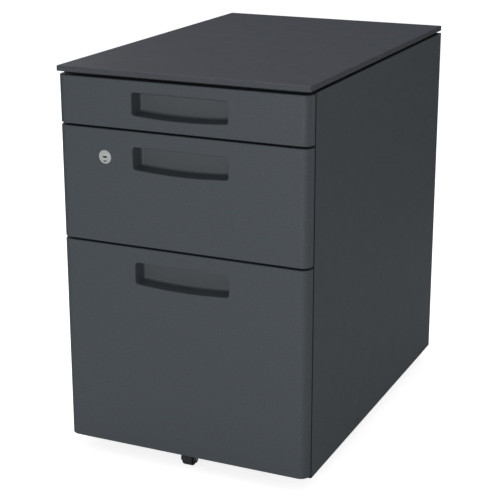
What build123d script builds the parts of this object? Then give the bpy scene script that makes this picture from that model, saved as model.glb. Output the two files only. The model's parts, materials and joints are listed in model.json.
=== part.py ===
from build123d import *
import math
import os
from dataclasses import dataclass

# A three-drawer rolling pedestal cabinet in folded steel sheet.
# Millimetres. The origin is on the floor under the middle of the cabinet, +Z is up,
# the drawers open towards -Y and +X is to the right of a person facing them.

# Overall sizes
width = 395.0
depth = 600.0
height = 600.0

# Fits between pieces that turn or slide on each other
pin_clearance = 0.05
running_gap = 0.3

# Top board, which floats over the casing on a narrow spacer
board_thickness = 8.0
board_gap = 4.5
board_corner = 2.5
board_edge = 0.8
spacer_inset = 16.0
spacer_width = 12.0
board_screw_radius = 2.5
board_screw_head_radius = 5.0
board_screw_head = 3.0
board_screw_grip = 5.0
board_screw_hole_clearance = 0.05
board_screw_from_end = 90.0

# Casing
sheet = 1.0
fold = 1.5
base_clearance = 17.0
stile_width = 15.0
stile_depth = 32.0
hem_height = 12.0
top_rail_drop = 11.0
pan_height = 52.0
pan_flange = 12.0
upright_width = 40.0
upright_flange = 10.0
upright_from_back = 95.0

# Drawer fronts
front_thickness = 17.5
front_seam = 2.5
front_gap = 3.0
front_base_clearance = 22.5
top_reveal = 0.5
upper_front_height = 70.5
middle_front_height = 170.0
front_wall = 1.2
front_corner = 14.0
front_edge = 1.0

# Finger pulls
pull_width = 151.0
pull_height = 33.0
pull_sag = 3.5
pull_upper_corner = 5.0
pull_lower_corner = 4.0
pull_depth = 22.0
pull_draft = 4.5
pull_rim = 1.0
pull_back_bevel = 1.8
pull_wall = 1.2
pull_flange = 6.0
pull_bow_flats = 8
pull_corner_flats = 3
finger_pocket_height = 8.0
finger_pocket_width = 120.0
upper_pull_drop = 16.7
lower_pull_drop = 22.5

# Drawer boxes
slide_space = 13.0
box_back_clearance = 42.0
box_hem = 8.0
upper_box_rise = 5.0
upper_box_height = 49.0
middle_box_rise = 8.5
middle_box_height = 98.0
lower_box_above_pan = 13.0
lower_box_top_drop = 42.0

# Ball slides: two members carry the upper and middle drawers, and three the lower one
slide_steel = 1.2
slide_length = 495.0
slide_setback = 0.5
slide_lip = 9.6
short_slide_height = 32.0
short_slide_above_box = 15.5
short_travel = 380.0
long_slide_height = 45.0
long_slide_above_box = 60.0
long_travel = 480.0
ball_radius = 2.1
ball_sides = 6
ball_count = 2
cage_thickness = 0.8
cage_margin = 5.0

# Lock in the middle front, and the bar behind the left stile that it lifts
lock_from_side = 76.4
lock_drop = 41.6
lock_hole_radius = 10.3
lock_head_radius = 9.3
lock_body_radius = 8.0
lock_flange_radius = 12.0
lock_flange = 1.5
lock_plug_radius = 6.0
lock_tail = 3.0
lock_face_inset = 0.2
lock_nut_radius = 11.0
lock_nut_thickness = 2.5
keyway_width = 6.0
keyway_height = 2.2
keyway_depth = 14.0
cam_thickness = 1.5
cam_pin_radius = 2.0
cam_pin_length = 8.0
cam_radius = 8.0
cam_margin = 3.0
cam_swing = 90.0
bar_thickness = 2.0
bar_width = 8.0
bar_from_stile = 6.0
bar_margin = 4.5
hook_height = 6.5
hook_gap = 1.0
hook_reach = 10.0
catch_height = 9.0
catch_steel = 1.5
catch_reach = 11.5
catch_behind_bar = 4.0
catch_length = 14.0
bar_slot_clearance = 0.7
bar_tail = 30.0
guide_height = 14.0
window_clearance = 2.0

# Fittings inside the drawers
tray_depth = 92.0
tray_height = 19.0
tray_floor = 1.6
tray_wall = 2.0
tray_side_gap = 4.0
tray_corner = 4.0
tray_from_front = 12.0
divider_height = 76.0
divider_foot = 22.0
divider_from_front = 250.0
divider_slot_pitch = 50.0
divider_slot_count = 6
divider_slot_height = 14.0
divider_slot_clearance = 0.4
file_plate_height = 150.0
file_plate_foot = 60.0
file_plate_from_front = 300.0
file_plate_side_gap = 24.0
file_rail_height = 14.0
file_rail_leg = 7.0
bumper_size = 8.0
bumper_gap = 0.3

# Swivelling twin-wheel casters
caster_radius = 20.0
caster_tread = 13.0
caster_chamfer = 1.5
caster_web = 6.0
caster_side_gap = 0.5
caster_trail = 15.0
caster_hood_gap = 1.2
caster_hood = 2.0
caster_axle_radius = 3.0
caster_stem_radius = 4.0
caster_boss_radius = 9.0
caster_washer = 2.0
caster_washer_radius = 10.0
caster_stem_depth = 10.0
caster_nut_size = 13.0
caster_nut_thickness = 6.5
caster_from_side = 48.5
caster_from_front = 70.0
caster_from_back = 50.0
swivel_gap = 0.4

# Flats that the small hidden turned pieces are drawn with, to keep them light
wheel_flats = 18
boss_flats = 8
thread_flats = 8

# Anti-tip roller under the lower front
tip_wheel_radius = 10.5
tip_wheel_width = 16.4
tip_wheel_behind_front = 1.3
tip_floor_gap = 0.6
tip_side_gap = 0.5
tip_cheek = 3.3
tip_cheek_radius = 6.0
tip_bridge_bottom = 23.0
tip_bridge_top = 46.0
tip_axle_radius = 2.5

# Levels and planes that follow from the sizes above
front_plane = -depth / 2
body_front = front_plane + front_thickness + front_seam
body_back = depth / 2
half_width = width / 2
inner_half = half_width - sheet
opening_half = half_width - stile_width
board_bottom = height - board_thickness
body_top = board_bottom - board_gap
panel_back = front_plane + front_thickness
box_half = opening_half - slide_space
box_back = body_back - 2 * sheet - box_back_clearance
pan_top = pan_height + sheet
fronts_top = body_top - top_reveal
upper_front_bottom = fronts_top - upper_front_height
middle_front_top = upper_front_bottom - front_gap
middle_front_bottom = middle_front_top - middle_front_height
lower_front_top = middle_front_bottom - front_gap

# The lock's axis and the planes of its cam and bar
lock_x = -half_width + lock_from_side
lock_z = middle_front_top - lock_drop
lock_back = panel_back + lock_tail
lock_length = lock_back - front_plane
bar_front = body_front + bar_from_stile
bar_back = bar_front + bar_thickness
bar_lift = 2 * cam_radius * math.sin(math.radians(cam_swing / 2))
cam_pin_x = lock_x - cam_radius * math.cos(math.radians(cam_swing / 2))
cam_pin_z = lock_z - cam_radius * math.sin(math.radians(cam_swing / 2))


@dataclass
class Drawer:
    """The levels of one drawer: its front, its box and its finger pull."""

    name: str
    bottom: float
    top: float
    box_bottom: float
    box_top: float
    pull_drop: float
    catch_drop: float
    slide_centre: float
    travel: float

    @property
    def middle(self):
        return (self.bottom + self.top) / 2

    @property
    def pull_top(self):
        return self.top - self.pull_drop

    @property
    def catch_bottom(self):
        return self.box_top - self.catch_drop - catch_height


upper_box_bottom = upper_front_bottom + upper_box_rise
upper = Drawer(
    name="upper",
    bottom=upper_front_bottom,
    top=fronts_top,
    box_bottom=upper_box_bottom,
    box_top=upper_box_bottom + upper_box_height,
    pull_drop=upper_pull_drop,
    catch_drop=0.0,
    slide_centre=upper_box_bottom + short_slide_above_box,
    travel=short_travel,
)
middle_box_bottom = middle_front_bottom + middle_box_rise
middle = Drawer(
    name="middle",
    bottom=middle_front_bottom,
    top=middle_front_top,
    box_bottom=middle_box_bottom,
    box_top=middle_box_bottom + middle_box_height,
    pull_drop=lower_pull_drop,
    catch_drop=0.0,
    slide_centre=middle_box_bottom + short_slide_above_box,
    travel=short_travel,
)
lower_box_bottom = pan_top + lower_box_above_pan
lower = Drawer(
    name="lower",
    bottom=front_base_clearance,
    top=lower_front_top,
    box_bottom=lower_box_bottom,
    box_top=lower_front_top - lower_box_top_drop,
    pull_drop=lower_pull_drop,
    catch_drop=file_rail_leg + 2 * sheet,
    slide_centre=lower_box_bottom + long_slide_above_box,
    travel=long_travel,
)
drawers = (upper, middle, lower)


# Shapes that several pieces share


def block(x, y, z):
    """A box between a low and a high value along each axis."""
    size = (x[1] - x[0], y[1] - y[0], z[1] - z[0])
    return Pos(sum(x) / 2, sum(y) / 2, sum(z) / 2) * Box(*size)


def rod(start, direction, radius, length):
    """A cylinder that starts at a point and runs in a direction."""
    seat = Plane(origin=start, z_dir=direction)
    return seat * Cylinder(radius, length, align=(Align.CENTER, Align.CENTER, Align.MIN))


def drum(start, direction, radius, length, flats, over_corners=False):
    """A many-sided rod with a flat at its bottom, measured over its flats or its corners.

    A pin measured over its corners turns freely in a bore measured over its flats.
    """
    seat = Plane(origin=start, x_dir=(0, 0, 1) if direction[2] == 0 else (1, 0, 0), z_dir=direction)
    sides = RegularPolygon(radius, flats, major_radius=over_corners, rotation=180 / flats)
    return extrude(seat * sides, length)


def folded_sheet(plane, points, length, thickness=sheet, radius=fold):
    """Sheet metal folded along a middle line drawn on a plane, and as long as given."""
    section = plane * trace(FilletPolyline(*points, radius=radius), thickness)
    return extrude(section, length, dir=plane.z_dir)


def both_sides(shape):
    """A right-hand piece and its mirror image on the left."""
    return [shape, mirror(shape, Plane.YZ)]


def write(node, *shapes):
    """Writes a node's solids to its own STEP file."""
    solids = [solid for shape in shapes for solid in shape.solids()]
    export_step(Compound(children=solids), f"parts/{node}.step")


# Top board


def top_board():
    """The board's steel skin, with slightly rounded corners and softened edges."""
    outline = RectangleRounded(width, depth, board_corner)
    board = extrude(Pos(0, 0, board_bottom) * outline, board_thickness)
    board = chamfer(board.edges().group_by(Axis.Z)[-1], board_edge)
    return board - core_space()


def core_space():
    """The room for the core inside the skin, open below."""
    y = depth / 2 - sheet
    return block((-inner_half, inner_half), (-y, y), (board_bottom, height - sheet))


def board_core():
    """The wooden core that fills the skin and holds the screws."""
    return core_space() - board_screw_holes(board_bottom, board_screw_grip + 1)


def board_screw_holes(bottom, length):
    """The screws' holes through one sheet or into the board."""
    radius = board_screw_radius + board_screw_hole_clearance
    places = board_screw_places()
    return [drum((x, y, bottom), (0, 0, 1), radius, length, thread_flats) for x, y in places]


def board_screw_places():
    """Where the four screws stand, in the middle of the spacer's long sides."""
    x = half_width - spacer_inset - spacer_width / 2
    y = depth / 2 - board_screw_from_end
    return [(i * x, j * y) for i in (-1, 1) for j in (-1, 1)]


def board_spacers():
    """Four narrow strips, set back from the edges, that make the shadow gap."""
    x = half_width - spacer_inset
    y = depth / 2 - spacer_inset
    levels = (body_top, board_bottom)
    long_strip = block((x - spacer_width, x), (-y, y), levels)
    long_strip -= board_screw_holes(body_top, board_gap)
    short_strip = block((spacer_width - x, x - spacer_width), (y - spacer_width, y), levels)
    return both_sides(long_strip) + [short_strip, mirror(short_strip, Plane.XZ)]


def board_screws():
    """Flat-head screws from under the casing's top, through the spacer, into the board."""
    under = body_top - sheet
    reach = sheet + board_gap + board_screw_grip
    screws = []
    for x, y in board_screw_places():
        head_bottom = (x, y, under - board_screw_head)
        head = drum(head_bottom, (0, 0, 1), board_screw_head_radius, board_screw_head, boss_flats)
        screws.append(head + drum((x, y, under), (0, 0, 1), board_screw_radius, reach, thread_flats))
    return screws


# Casing


def side_panel():
    """The right side: one sheet folded in at the front into a stile, and in at the back."""
    skin = half_width - sheet / 2
    lip = opening_half + sheet / 2
    front = body_front + sheet / 2
    back = body_back - sheet / 2
    path = ((lip, body_front + stile_depth), (lip, front), (skin, front), (skin, back), (lip, back))
    panel = folded_sheet(Plane.XY.offset(base_clearance), path, body_top - base_clearance)
    inside = (0, inner_half)
    panel -= block(inside, (body_front + sheet, body_back - sheet), (body_top - sheet, body_top))
    hem_ends = (body_front + stile_depth, body_back - 2 * sheet)
    hem_levels = (base_clearance, base_clearance + hem_height)
    return panel + block((inner_half - sheet, inner_half), hem_ends, hem_levels)


def lock_windows():
    """Slots in the left stile's lip, through which the bar's hooks and arm reach out."""
    lip = (-opening_half - 2 * sheet, -opening_half + sheet)
    across = (bar_front - window_clearance, bar_back + window_clearance)
    windows = []
    for low, high in [hook_levels(drawer) for drawer in drawers] + [arm_levels()]:
        levels = (low - window_clearance, high + bar_lift + window_clearance)
        windows.append(block(lip, across, levels))
    return windows


def top_panel():
    """The casing's top sheet, with a front rail turned down between the stiles."""
    top = (body_top - sheet, body_top)
    inside = (-inner_half, inner_half)
    between = (-opening_half, opening_half)
    panel = block(inside, (body_front + sheet, body_back - sheet), top)
    panel += block(between, (body_front, body_front + sheet), (body_top - top_rail_drop, body_top))
    return panel - board_screw_holes(body_top - sheet, sheet)


def back_panel():
    """The sheet behind the two back returns, stiffened by a shallow pressed field."""
    field_margin = 40.0
    field_depth = 4.0
    face = body_back - sheet
    levels = (base_clearance, body_top - sheet)
    clear_of_folds = inner_half - fold
    panel = block((-clear_of_folds, clear_of_folds), (face - sheet, face), levels)
    across = (-opening_half + field_margin, opening_half - field_margin)
    field = (base_clearance + 2 * field_margin, body_top - 2 * field_margin)
    pressed = block(across, (face - sheet - field_depth, face), field)
    pressed = chamfer(pressed.faces().sort_by(Axis.Y)[0].edges(), field_depth)
    hollow_across = (across[0] + sheet, across[1] - sheet)
    hollow = block(hollow_across, (face - field_depth, face), (field[0] + sheet, field[1] - sheet))
    hollow = chamfer(hollow.faces().sort_by(Axis.Y)[0].edges(), field_depth - sheet)
    return panel + pressed - hollow


def base_pan():
    """The floor of the casing, turned down at the sides and back and up at the front."""
    level = (pan_height, pan_top)
    below = (pan_height - pan_flange, pan_top)
    back = body_back - 2 * sheet
    pan = block((-inner_half, inner_half), (body_front + sheet, back), level)
    for side in (-1, 1):
        flange_x = sorted((side * inner_half, side * (inner_half - sheet)))
        pan += block(flange_x, (body_front + stile_depth, back), below)
        corner_x = sorted((side * opening_half, side * half_width))
        pan -= block(corner_x, (body_front, body_front + stile_depth), below)
    pan += block((-inner_half, inner_half), (back - sheet, back), below)
    front_flange = (pan_height, pan_top + pan_flange - sheet)
    pan += block((-opening_half, opening_half), (body_front, body_front + sheet), front_flange)
    return pan - [caster_hole(x, y, pan_height, sheet) for x, y in caster_places().values()]


def rear_upright():
    """The right one of two hat sections to which the slides' back ends are fixed."""
    levels = (pan_top, body_top - sheet)
    centre = body_back - upright_from_back
    near = centre - upright_width / 2
    far = centre + upright_width / 2
    hat = block((opening_half, inner_half), (near, far), levels)
    hat -= block((opening_half + sheet, inner_half), (near + sheet, far - sheet), levels)
    for foot in ((near - upright_flange, near), (far, far + upright_flange)):
        hat += block((inner_half - sheet, inner_half), foot, levels)
    return hat


def drawer_bumpers():
    """Soft pads on the stiles that the closed fronts nearly touch."""
    x = half_width - stile_width / 2
    half = bumper_size / 2
    across = (x - half, x + half)
    through = (panel_back + bumper_gap, body_front)
    pads = []
    for drawer in drawers:
        levels = (drawer.middle - half, drawer.middle + half)
        pad = block(across, through, levels)
        pads += both_sides(chamfer(pad.edges().filter_by(Axis.Y), half / 2))
    return pads


# Drawer fronts


def front_outline(inset):
    """A front's plan, rounded at its two outer corners, as deep as the front or deeper."""
    half = half_width - inset
    near = front_plane + inset
    far = panel_back + (1 if inset else 0)
    radius = front_corner - inset
    plan = Polyline((-half, far), (-half, near), (half, near), (half, far), close=True)
    face = make_face(plan)
    near_corners = face.vertices().group_by(Axis.Y)[0]
    return fillet(near_corners, radius)


def pull_outline(drawer, margin=0.0):
    """The pull's outline seen from in front: straight above, bowed down below."""
    half = pull_width / 2 + margin
    top = drawer.pull_top + margin
    end = drawer.pull_top - pull_height - margin
    bottom = end - pull_sag
    path = Polyline((-half, end), (-half, top), (half, top), (half, end))
    bow = ThreePointArc((-half, end), (0, bottom), (half, end))
    face = make_face(path.edges() + bow.edges())
    upper_corners = face.vertices().group_by(Axis.Y)[-1]
    face = fillet(upper_corners, pull_upper_corner + margin)
    lower_corners = face.vertices().group_by(Axis.Y)[0]
    return in_flats(fillet(lower_corners, pull_lower_corner + margin))


def in_flats(sketch):
    """The same outline with its bow and corners in short flats, so drafted walls stay light."""
    points = []
    for edge in sketch.wire().order_edges():
        curved = edge.geom_type != GeomType.LINE
        flats = pull_bow_flats if edge.length > pull_width / 2 else pull_corner_flats
        steps = flats if curved else 1
        points += [edge @ (i / steps) for i in range(steps)]
    return make_face(Polyline(*points, close=True))


def facing_front(sketch, y):
    """A sketch drawn in X and Z, standing at a depth and looking out of the front."""
    return Plane(origin=(0, y, 0), x_dir=(1, 0, 0), z_dir=(0, -1, 0)) * sketch


def drawer_front(drawer):
    """The pressed outer skin of a front, open at its back, with its pull's mouth cut out."""
    rise = drawer.top - drawer.bottom
    skin = extrude(Pos(0, 0, drawer.bottom) * front_outline(0), rise)
    rims = skin.edges().group_by(Axis.Z)
    sharp = [e for e in rims[0] + rims[-1] if e.center().Y < panel_back - front_edge / 2]
    skin = chamfer(sharp, front_edge)
    hollow = Pos(0, 0, drawer.bottom + front_wall) * front_outline(front_wall)
    skin -= extrude(hollow, rise - 2 * front_wall)
    mouth = extrude(facing_front(pull_outline(drawer), front_plane + front_wall), front_wall)
    skin -= mouth
    return bevel_pull_rim(skin, drawer)


def bevel_pull_rim(skin, drawer):
    """Turns the edge of the pull's mouth inwards."""
    half = pull_width / 2
    low = drawer.pull_top - pull_height - pull_sag - 1
    rim = [
        edge
        for edge in skin.faces().sort_by(Axis.Y)[0].edges()
        if abs(edge.center().X) < half + 1 and low < edge.center().Z < drawer.pull_top + 1
    ]
    return chamfer(rim, pull_rim)


def pull_cup(drawer):
    """The finger pull: a drafted cup behind the skin, with a pocket up behind its top edge."""
    mouth = front_plane + front_wall
    pocket_back = body_front - running_gap - pull_wall
    cup = cup_shape(drawer, pull_wall)
    cup += finger_pocket(drawer, (mouth, pocket_back + pull_wall), pull_wall)
    cup += extrude(facing_front(pull_outline(drawer, pull_flange), mouth), -pull_wall)
    return cup - cup_shape(drawer, 0) - finger_pocket(drawer, (mouth + pull_wall, pocket_back), 0)


def cup_shape(drawer, wall):
    """The cup's hollow, or with a wall its outside: drafted sides and a bevelled back."""
    mouth = front_plane + front_wall
    outline = facing_front(pull_outline(drawer, wall), mouth)
    straight = extrude(outline, front_wall - pull_depth - wall)
    sides = straight.faces() - straight.faces().filter_by(Axis.Y)
    cup = draft(sides, Plane(origin=(0, mouth, 0), z_dir=(0, 1, 0)), pull_draft)
    return chamfer(cup.faces().sort_by(Axis.Y)[-1].edges(), pull_back_bevel)


def finger_pocket(drawer, y, wall):
    """The room above the mouth in which the fingers hook, or its outside."""
    half = finger_pocket_width / 2 + wall
    levels = (drawer.pull_top - pull_height / 2, drawer.pull_top + finger_pocket_height + wall)
    return block((-half, half), y, levels)


def inner_panel(drawer):
    """The sheet that closes a front's back, open where the pull's cup comes through."""
    half = half_width - front_wall
    levels = (drawer.bottom + front_wall, drawer.top - front_wall)
    panel = block((-half, half), (panel_back - sheet, panel_back), levels)
    return panel - cup_clearance(drawer)


def cup_clearance(drawer):
    """The rectangular hole in the inner panel around the cup."""
    gap = 1.0
    half = pull_width / 2 + gap
    low = drawer.pull_top - pull_height - pull_sag - gap
    high = drawer.pull_top + finger_pocket_height + pull_wall + gap
    return block((-half, half), (panel_back - 2 * sheet, panel_back + sheet), (low, high))


# Drawer boxes and what is in them


def drawer_box(drawer):
    """Floor, sides and back folded from one sheet, with hems turned in at the top."""
    wall = box_half - sheet / 2
    floor = drawer.box_bottom + sheet / 2
    top = drawer.box_top
    path = ((-wall, top), (-wall, floor), (wall, floor), (wall, top))
    plane = Plane(origin=(0, box_back, 0), x_dir=(1, 0, 0), z_dir=(0, -1, 0))
    box = folded_sheet(plane, path, box_back - panel_back)
    hem_levels = (top - box_hem, top)
    hem = block((box_half - 2 * sheet, box_half - sheet), (panel_back, box_back), hem_levels)
    for side in both_sides(hem):
        box += side
    back = block((-box_half, box_half), (box_back - sheet, box_back), (drawer.box_bottom + fold, top))
    return box + back


def upper_box():
    return drawer_box(upper)


def divider_slots():
    """Rows of slots in both sides of the middle box that take the divider's tabs."""
    half = sheet / 2 + divider_slot_clearance / 2
    slots = []
    for i in range(divider_slot_count):
        y = panel_back + divider_from_front + (i - divider_slot_count // 2) * divider_slot_pitch
        levels = divider_slot_levels()
        through = (box_half - 2 * sheet, box_half + sheet)
        slots += both_sides(block(through, (y - half, y + half), levels))
    return slots


def divider_slot_levels():
    """The slots stand midway up the part of the side that shows over the slides."""
    low = middle.slide_centre + short_slide_height / 2 + window_clearance
    high = middle.box_top - box_hem
    centre = (low + high) / 2
    return (centre - divider_slot_height / 2, centre + divider_slot_height / 2)


def middle_box():
    box = drawer_box(middle)
    for slot in divider_slots():
        box -= slot
    return box


def lower_box():
    return drawer_box(lower)


def middle_divider():
    """A cross divider on a folded foot, with a tab at each end that sits in a slot."""
    y = panel_back + divider_from_front
    floor = middle.box_bottom + sheet
    inside = box_half - 2 * sheet - running_gap
    path = ((y, floor + divider_height), (y, floor + sheet / 2), (y + divider_foot, floor + sheet / 2))
    plane = Plane(origin=(-inside, 0, 0), x_dir=(0, 1, 0), z_dir=(1, 0, 0))
    plate = folded_sheet(plane, path, 2 * inside)
    low, high = divider_slot_levels()
    tab_levels = (low + divider_slot_clearance, high - divider_slot_clearance)
    tab_reach = box_half + divider_slot_clearance
    return plate + block((-tab_reach, tab_reach), (y - sheet / 2, y + sheet / 2), tab_levels)


def file_plate():
    """The follower plate that keeps files upright: a bent sheet with rounded shoulders."""
    y = panel_back + file_plate_from_front
    floor = lower.box_bottom + sheet
    half = box_half - sheet - file_plate_side_gap
    top = floor + file_plate_height
    path = ((y, top), (y, floor + sheet / 2), (y + file_plate_foot, floor + sheet / 2))
    plane = Plane(origin=(-half, 0, 0), x_dir=(0, 1, 0), z_dir=(1, 0, 0))
    plate = folded_sheet(plane, path, 2 * half)
    shoulders = [
        edge
        for edge in plate.edges().filter_by(Axis.Y)
        if edge.center().Z > top - 1 and abs(edge.center().X) > half - 1
    ]
    return fillet(shoulders, file_plate_side_gap)


def file_rail():
    """The right one of two rails clipped over the lower box's sides, for hanging files."""
    over = lower.box_top + sheet / 2
    inner = box_half - 2 * sheet - running_gap - sheet / 2
    outer = box_half + running_gap / 2 + sheet / 2
    ends = (panel_back + tray_from_front, box_back - tray_from_front)
    outer_end = (outer, over - file_rail_leg)
    inner_end = (inner, over - file_rail_height)
    path = (outer_end, (outer, over), (inner, over), inner_end)
    plane = Plane(origin=(0, ends[1], 0), x_dir=(1, 0, 0), z_dir=(0, -1, 0))
    return folded_sheet(plane, path, ends[1] - ends[0], radius=sheet / 2 + 0.1)


def pen_tray():
    """A moulded tray with one long trough and three short ones."""
    half = box_half - sheet - tray_side_gap
    near = panel_back + tray_from_front
    far = near + tray_depth
    floor = upper.box_bottom + sheet
    tray = block((-half, half), (near, far), (floor, floor + tray_height))
    tray = chamfer(tray.edges().filter_by(Axis.Z), tray_corner)
    for trough in pen_troughs():
        pocket = block(*trough)
        tray -= chamfer(pocket.edges().filter_by(Axis.Z), tray_corner - tray_wall)
    return tray


def pen_troughs():
    """The open space of each trough of the pen tray, as pairs of low and high values."""
    half = box_half - sheet - tray_side_gap - tray_wall
    near = panel_back + tray_from_front + tray_wall
    row = (tray_depth - 3 * tray_wall) / 2
    floor = upper.box_bottom + sheet + tray_floor
    levels = (floor, floor + tray_height)
    troughs = [((-half, half), (near, near + row), levels)]
    step = (2 * half + tray_wall) / 3
    for i in range(3):
        left = -half + i * step
        back_row = (near + row + tray_wall, near + 2 * row + tray_wall)
        troughs.append(((left, left + step - tray_wall), back_row, levels))
    return troughs


# Slides. Each member is a channel that lies inside the one next to it.


def slide_ends():
    near = body_front + slide_setback
    return (near, near + slide_length)


def ball_gap():
    """The height between two raceways that a row of balls runs in."""
    return 2 * ball_radius + 2 * running_gap


def channel(web_x, lip_x, centre, half_height):
    """A right-hand channel of slide steel with its web and lips at the given places."""
    ends = slide_ends()
    low = centre - half_height
    high = centre + half_height
    member = block(web_x, ends, (low, high))
    member += block(lip_x, ends, (low, low + slide_steel))
    return member + block(lip_x, ends, (high - slide_steel, high))


def outer_member(drawer, height):
    """The member on the stile and the rear upright, open towards the drawer."""
    web = (opening_half - slide_steel, opening_half)
    return channel(web, (opening_half - slide_lip, opening_half), drawer.slide_centre, height / 2)


def middle_member():
    """The lower slide's member between, which travels half as far as the drawer."""
    wall = opening_half - slide_steel - running_gap
    half_height = next_half_height(long_slide_height / 2)
    return channel((wall - slide_steel, wall), (wall - slide_lip, wall), lower.slide_centre, half_height)


def next_half_height(half_height):
    """Half the height of the member that runs, on balls, inside one of this height."""
    return half_height - slide_steel - ball_gap()


def drawer_member(drawer, half_height, lip_end):
    """The member on the drawer's side, long enough to reach the front's inner panel."""
    web = (box_half, box_half + slide_steel)
    member = channel(web, (box_half, lip_end), drawer.slide_centre, half_height)
    levels = (drawer.slide_centre - half_height, drawer.slide_centre + half_height)
    return member + block(web, (panel_back, slide_ends()[0]), levels)


def short_slide_rail(drawer):
    lip_end = opening_half - slide_steel - 2 * running_gap
    return drawer_member(drawer, next_half_height(short_slide_height / 2), lip_end)


def long_slide_rail():
    half_height = next_half_height(next_half_height(long_slide_height / 2))
    lip_end = opening_half - 2 * slide_steel - 3 * running_gap
    return drawer_member(lower, half_height, lip_end)


def ball():
    """A ball drawn with a few flats, to stay light."""
    waist = RegularPolygon(ball_radius, ball_sides)
    end = RegularPolygon(ball_radius / 2, ball_sides)
    half = loft([waist, Pos(0, 0, ball_radius) * end])
    return half + mirror(half, Plane.XY)


def ball_cages(across, drawer, level, member_travel):
    """Both sides' cages: a strip over and one under the inner member, each with its balls.

    A cage rolls half as far as the members move on each other, and keeps inside both.
    """
    near = slide_ends()[0] + member_travel / 2 + cage_margin
    length = slide_length - member_travel - 2 * cage_margin
    half = cage_thickness / 2
    pieces = []
    for z in (drawer.slide_centre - level, drawer.slide_centre + level):
        strip = block(across, (near, near + length), (z - half, z + half))
        for i in range(ball_count):
            y = near + (i + 0.5) * length / ball_count
            strip += Pos(sum(across) / 2, y, z) * ball()
        pieces += both_sides(strip)
    return pieces


def short_slide_cages(drawer):
    across = (opening_half - slide_lip + running_gap, opening_half - slide_steel - running_gap)
    level = next_half_height(short_slide_height / 2) + ball_gap() / 2
    return ball_cages(across, drawer, level, drawer.travel)


def lower_outer_cages():
    """Balls between the outer and the middle member."""
    across = (opening_half - slide_lip + running_gap, opening_half - slide_steel - running_gap)
    level = next_half_height(long_slide_height / 2) + ball_gap() / 2
    return ball_cages(across, lower, level, lower.travel / 2)


def lower_inner_cages():
    """Balls between the middle member and the drawer's own."""
    wall = opening_half - 2 * slide_steel - running_gap
    across = (box_half + slide_steel + running_gap, wall - running_gap)
    level = next_half_height(next_half_height(long_slide_height / 2)) + ball_gap() / 2
    return ball_cages(across, lower, level, lower.travel / 2)


# Lock


def lock_rod(radius, y, length):
    """A cylinder on the lock's axis, from a depth backwards."""
    return rod((lock_x, y, lock_z), (0, 1, 0), radius, length)


def lock_drum(radius, y, length):
    """A rod with flats on the lock's axis, as the shank has that keeps it from turning."""
    return drum((lock_x, y, lock_z), (0, 1, 0), radius, length, boss_flats)


def lock_barrel():
    """The fixed body: a head in the skin's hole, a flange behind it and a bored shank."""
    face = front_plane + lock_face_inset
    flange = front_plane + front_wall
    barrel = lock_rod(lock_head_radius, face, flange - face)
    barrel += lock_drum(lock_flange_radius, flange, lock_flange)
    barrel += lock_drum(lock_body_radius, flange, lock_back - flange)
    return barrel - lock_rod(lock_plug_radius + pin_clearance, face, lock_length)


def lock_nut():
    """The hexagonal nut that draws the barrel against the inner panel."""
    plane = Plane(origin=(lock_x, panel_back, lock_z), z_dir=(0, 1, 0))
    nut = extrude(plane * RegularPolygon(lock_nut_radius, 6), lock_nut_thickness)
    return nut - lock_drum(lock_body_radius + pin_clearance, panel_back, lock_nut_thickness)


def lock_plug():
    """The turning core, with its key's slot level when the drawers are free."""
    face = front_plane + lock_face_inset
    plug = lock_rod(lock_plug_radius, face, lock_back - face)
    half_width_of_slot = keyway_width / 2
    half_height_of_slot = keyway_height / 2
    across = (lock_x - half_width_of_slot, lock_x + half_width_of_slot)
    levels = (lock_z - half_height_of_slot, lock_z + half_height_of_slot)
    return plug - block(across, (face, face + keyway_depth), levels)


def lock_cam():
    """A crank on the plug's back end whose pin stands in the bar's arm."""
    cam = lock_drum(cam_radius - cam_margin / 2, lock_back, cam_thickness)
    foot = (cam_pin_x, lock_back, cam_pin_z)
    eye = cam_pin_radius + cam_margin / 2
    cam += drum(foot, (0, 1, 0), eye, cam_thickness, boss_flats)
    length = cam_thickness + cam_pin_length
    return cam + drum(foot, (0, 1, 0), cam_pin_radius, length, boss_flats, over_corners=True)


def hook_levels(drawer):
    """A hook's low and high edge with the bar down: just under the drawer's catch."""
    high = drawer.catch_bottom - hook_gap
    return (high - hook_height, high)


def arm_levels():
    """The low and high edge, with the bar down, of the arm that the cam's pin lifts."""
    half = cam_pin_radius + bar_slot_clearance + bar_margin
    return (cam_pin_z - half, cam_pin_z + half)


def bar_x():
    """The bar stands in the middle of the left stile."""
    centre = -half_width + (stile_width / 2)
    return (centre - bar_width / 2, centre + bar_width / 2)


def bar_bottom():
    return hook_levels(lower)[0] - bar_tail


def lock_bar():
    """A flat stamped bar with one hook for each drawer and a slotted arm to the cam."""
    across = bar_x()
    through = (bar_front, bar_back)
    bar = block(across, through, (bar_bottom(), hook_levels(upper)[1]))
    hook_x = (across[0], -opening_half + hook_reach)
    for drawer in drawers:
        bar += block(hook_x, through, hook_levels(drawer))
    far = cam_pin_x + cam_radius * (1 - math.cos(math.radians(cam_swing / 2)))
    swing = cam_radius * (1 - math.cos(math.radians(cam_swing / 2)))
    slot_half = cam_pin_radius + bar_slot_clearance
    arm_end = far + slot_half + bar_margin - swing
    bar += block((across[0], arm_end), through, arm_levels())
    slot_x = (cam_pin_x - swing - slot_half, cam_pin_x + slot_half)
    slot = block(slot_x, through, (cam_pin_z - slot_half, cam_pin_z + slot_half))
    return bar - slot


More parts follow.
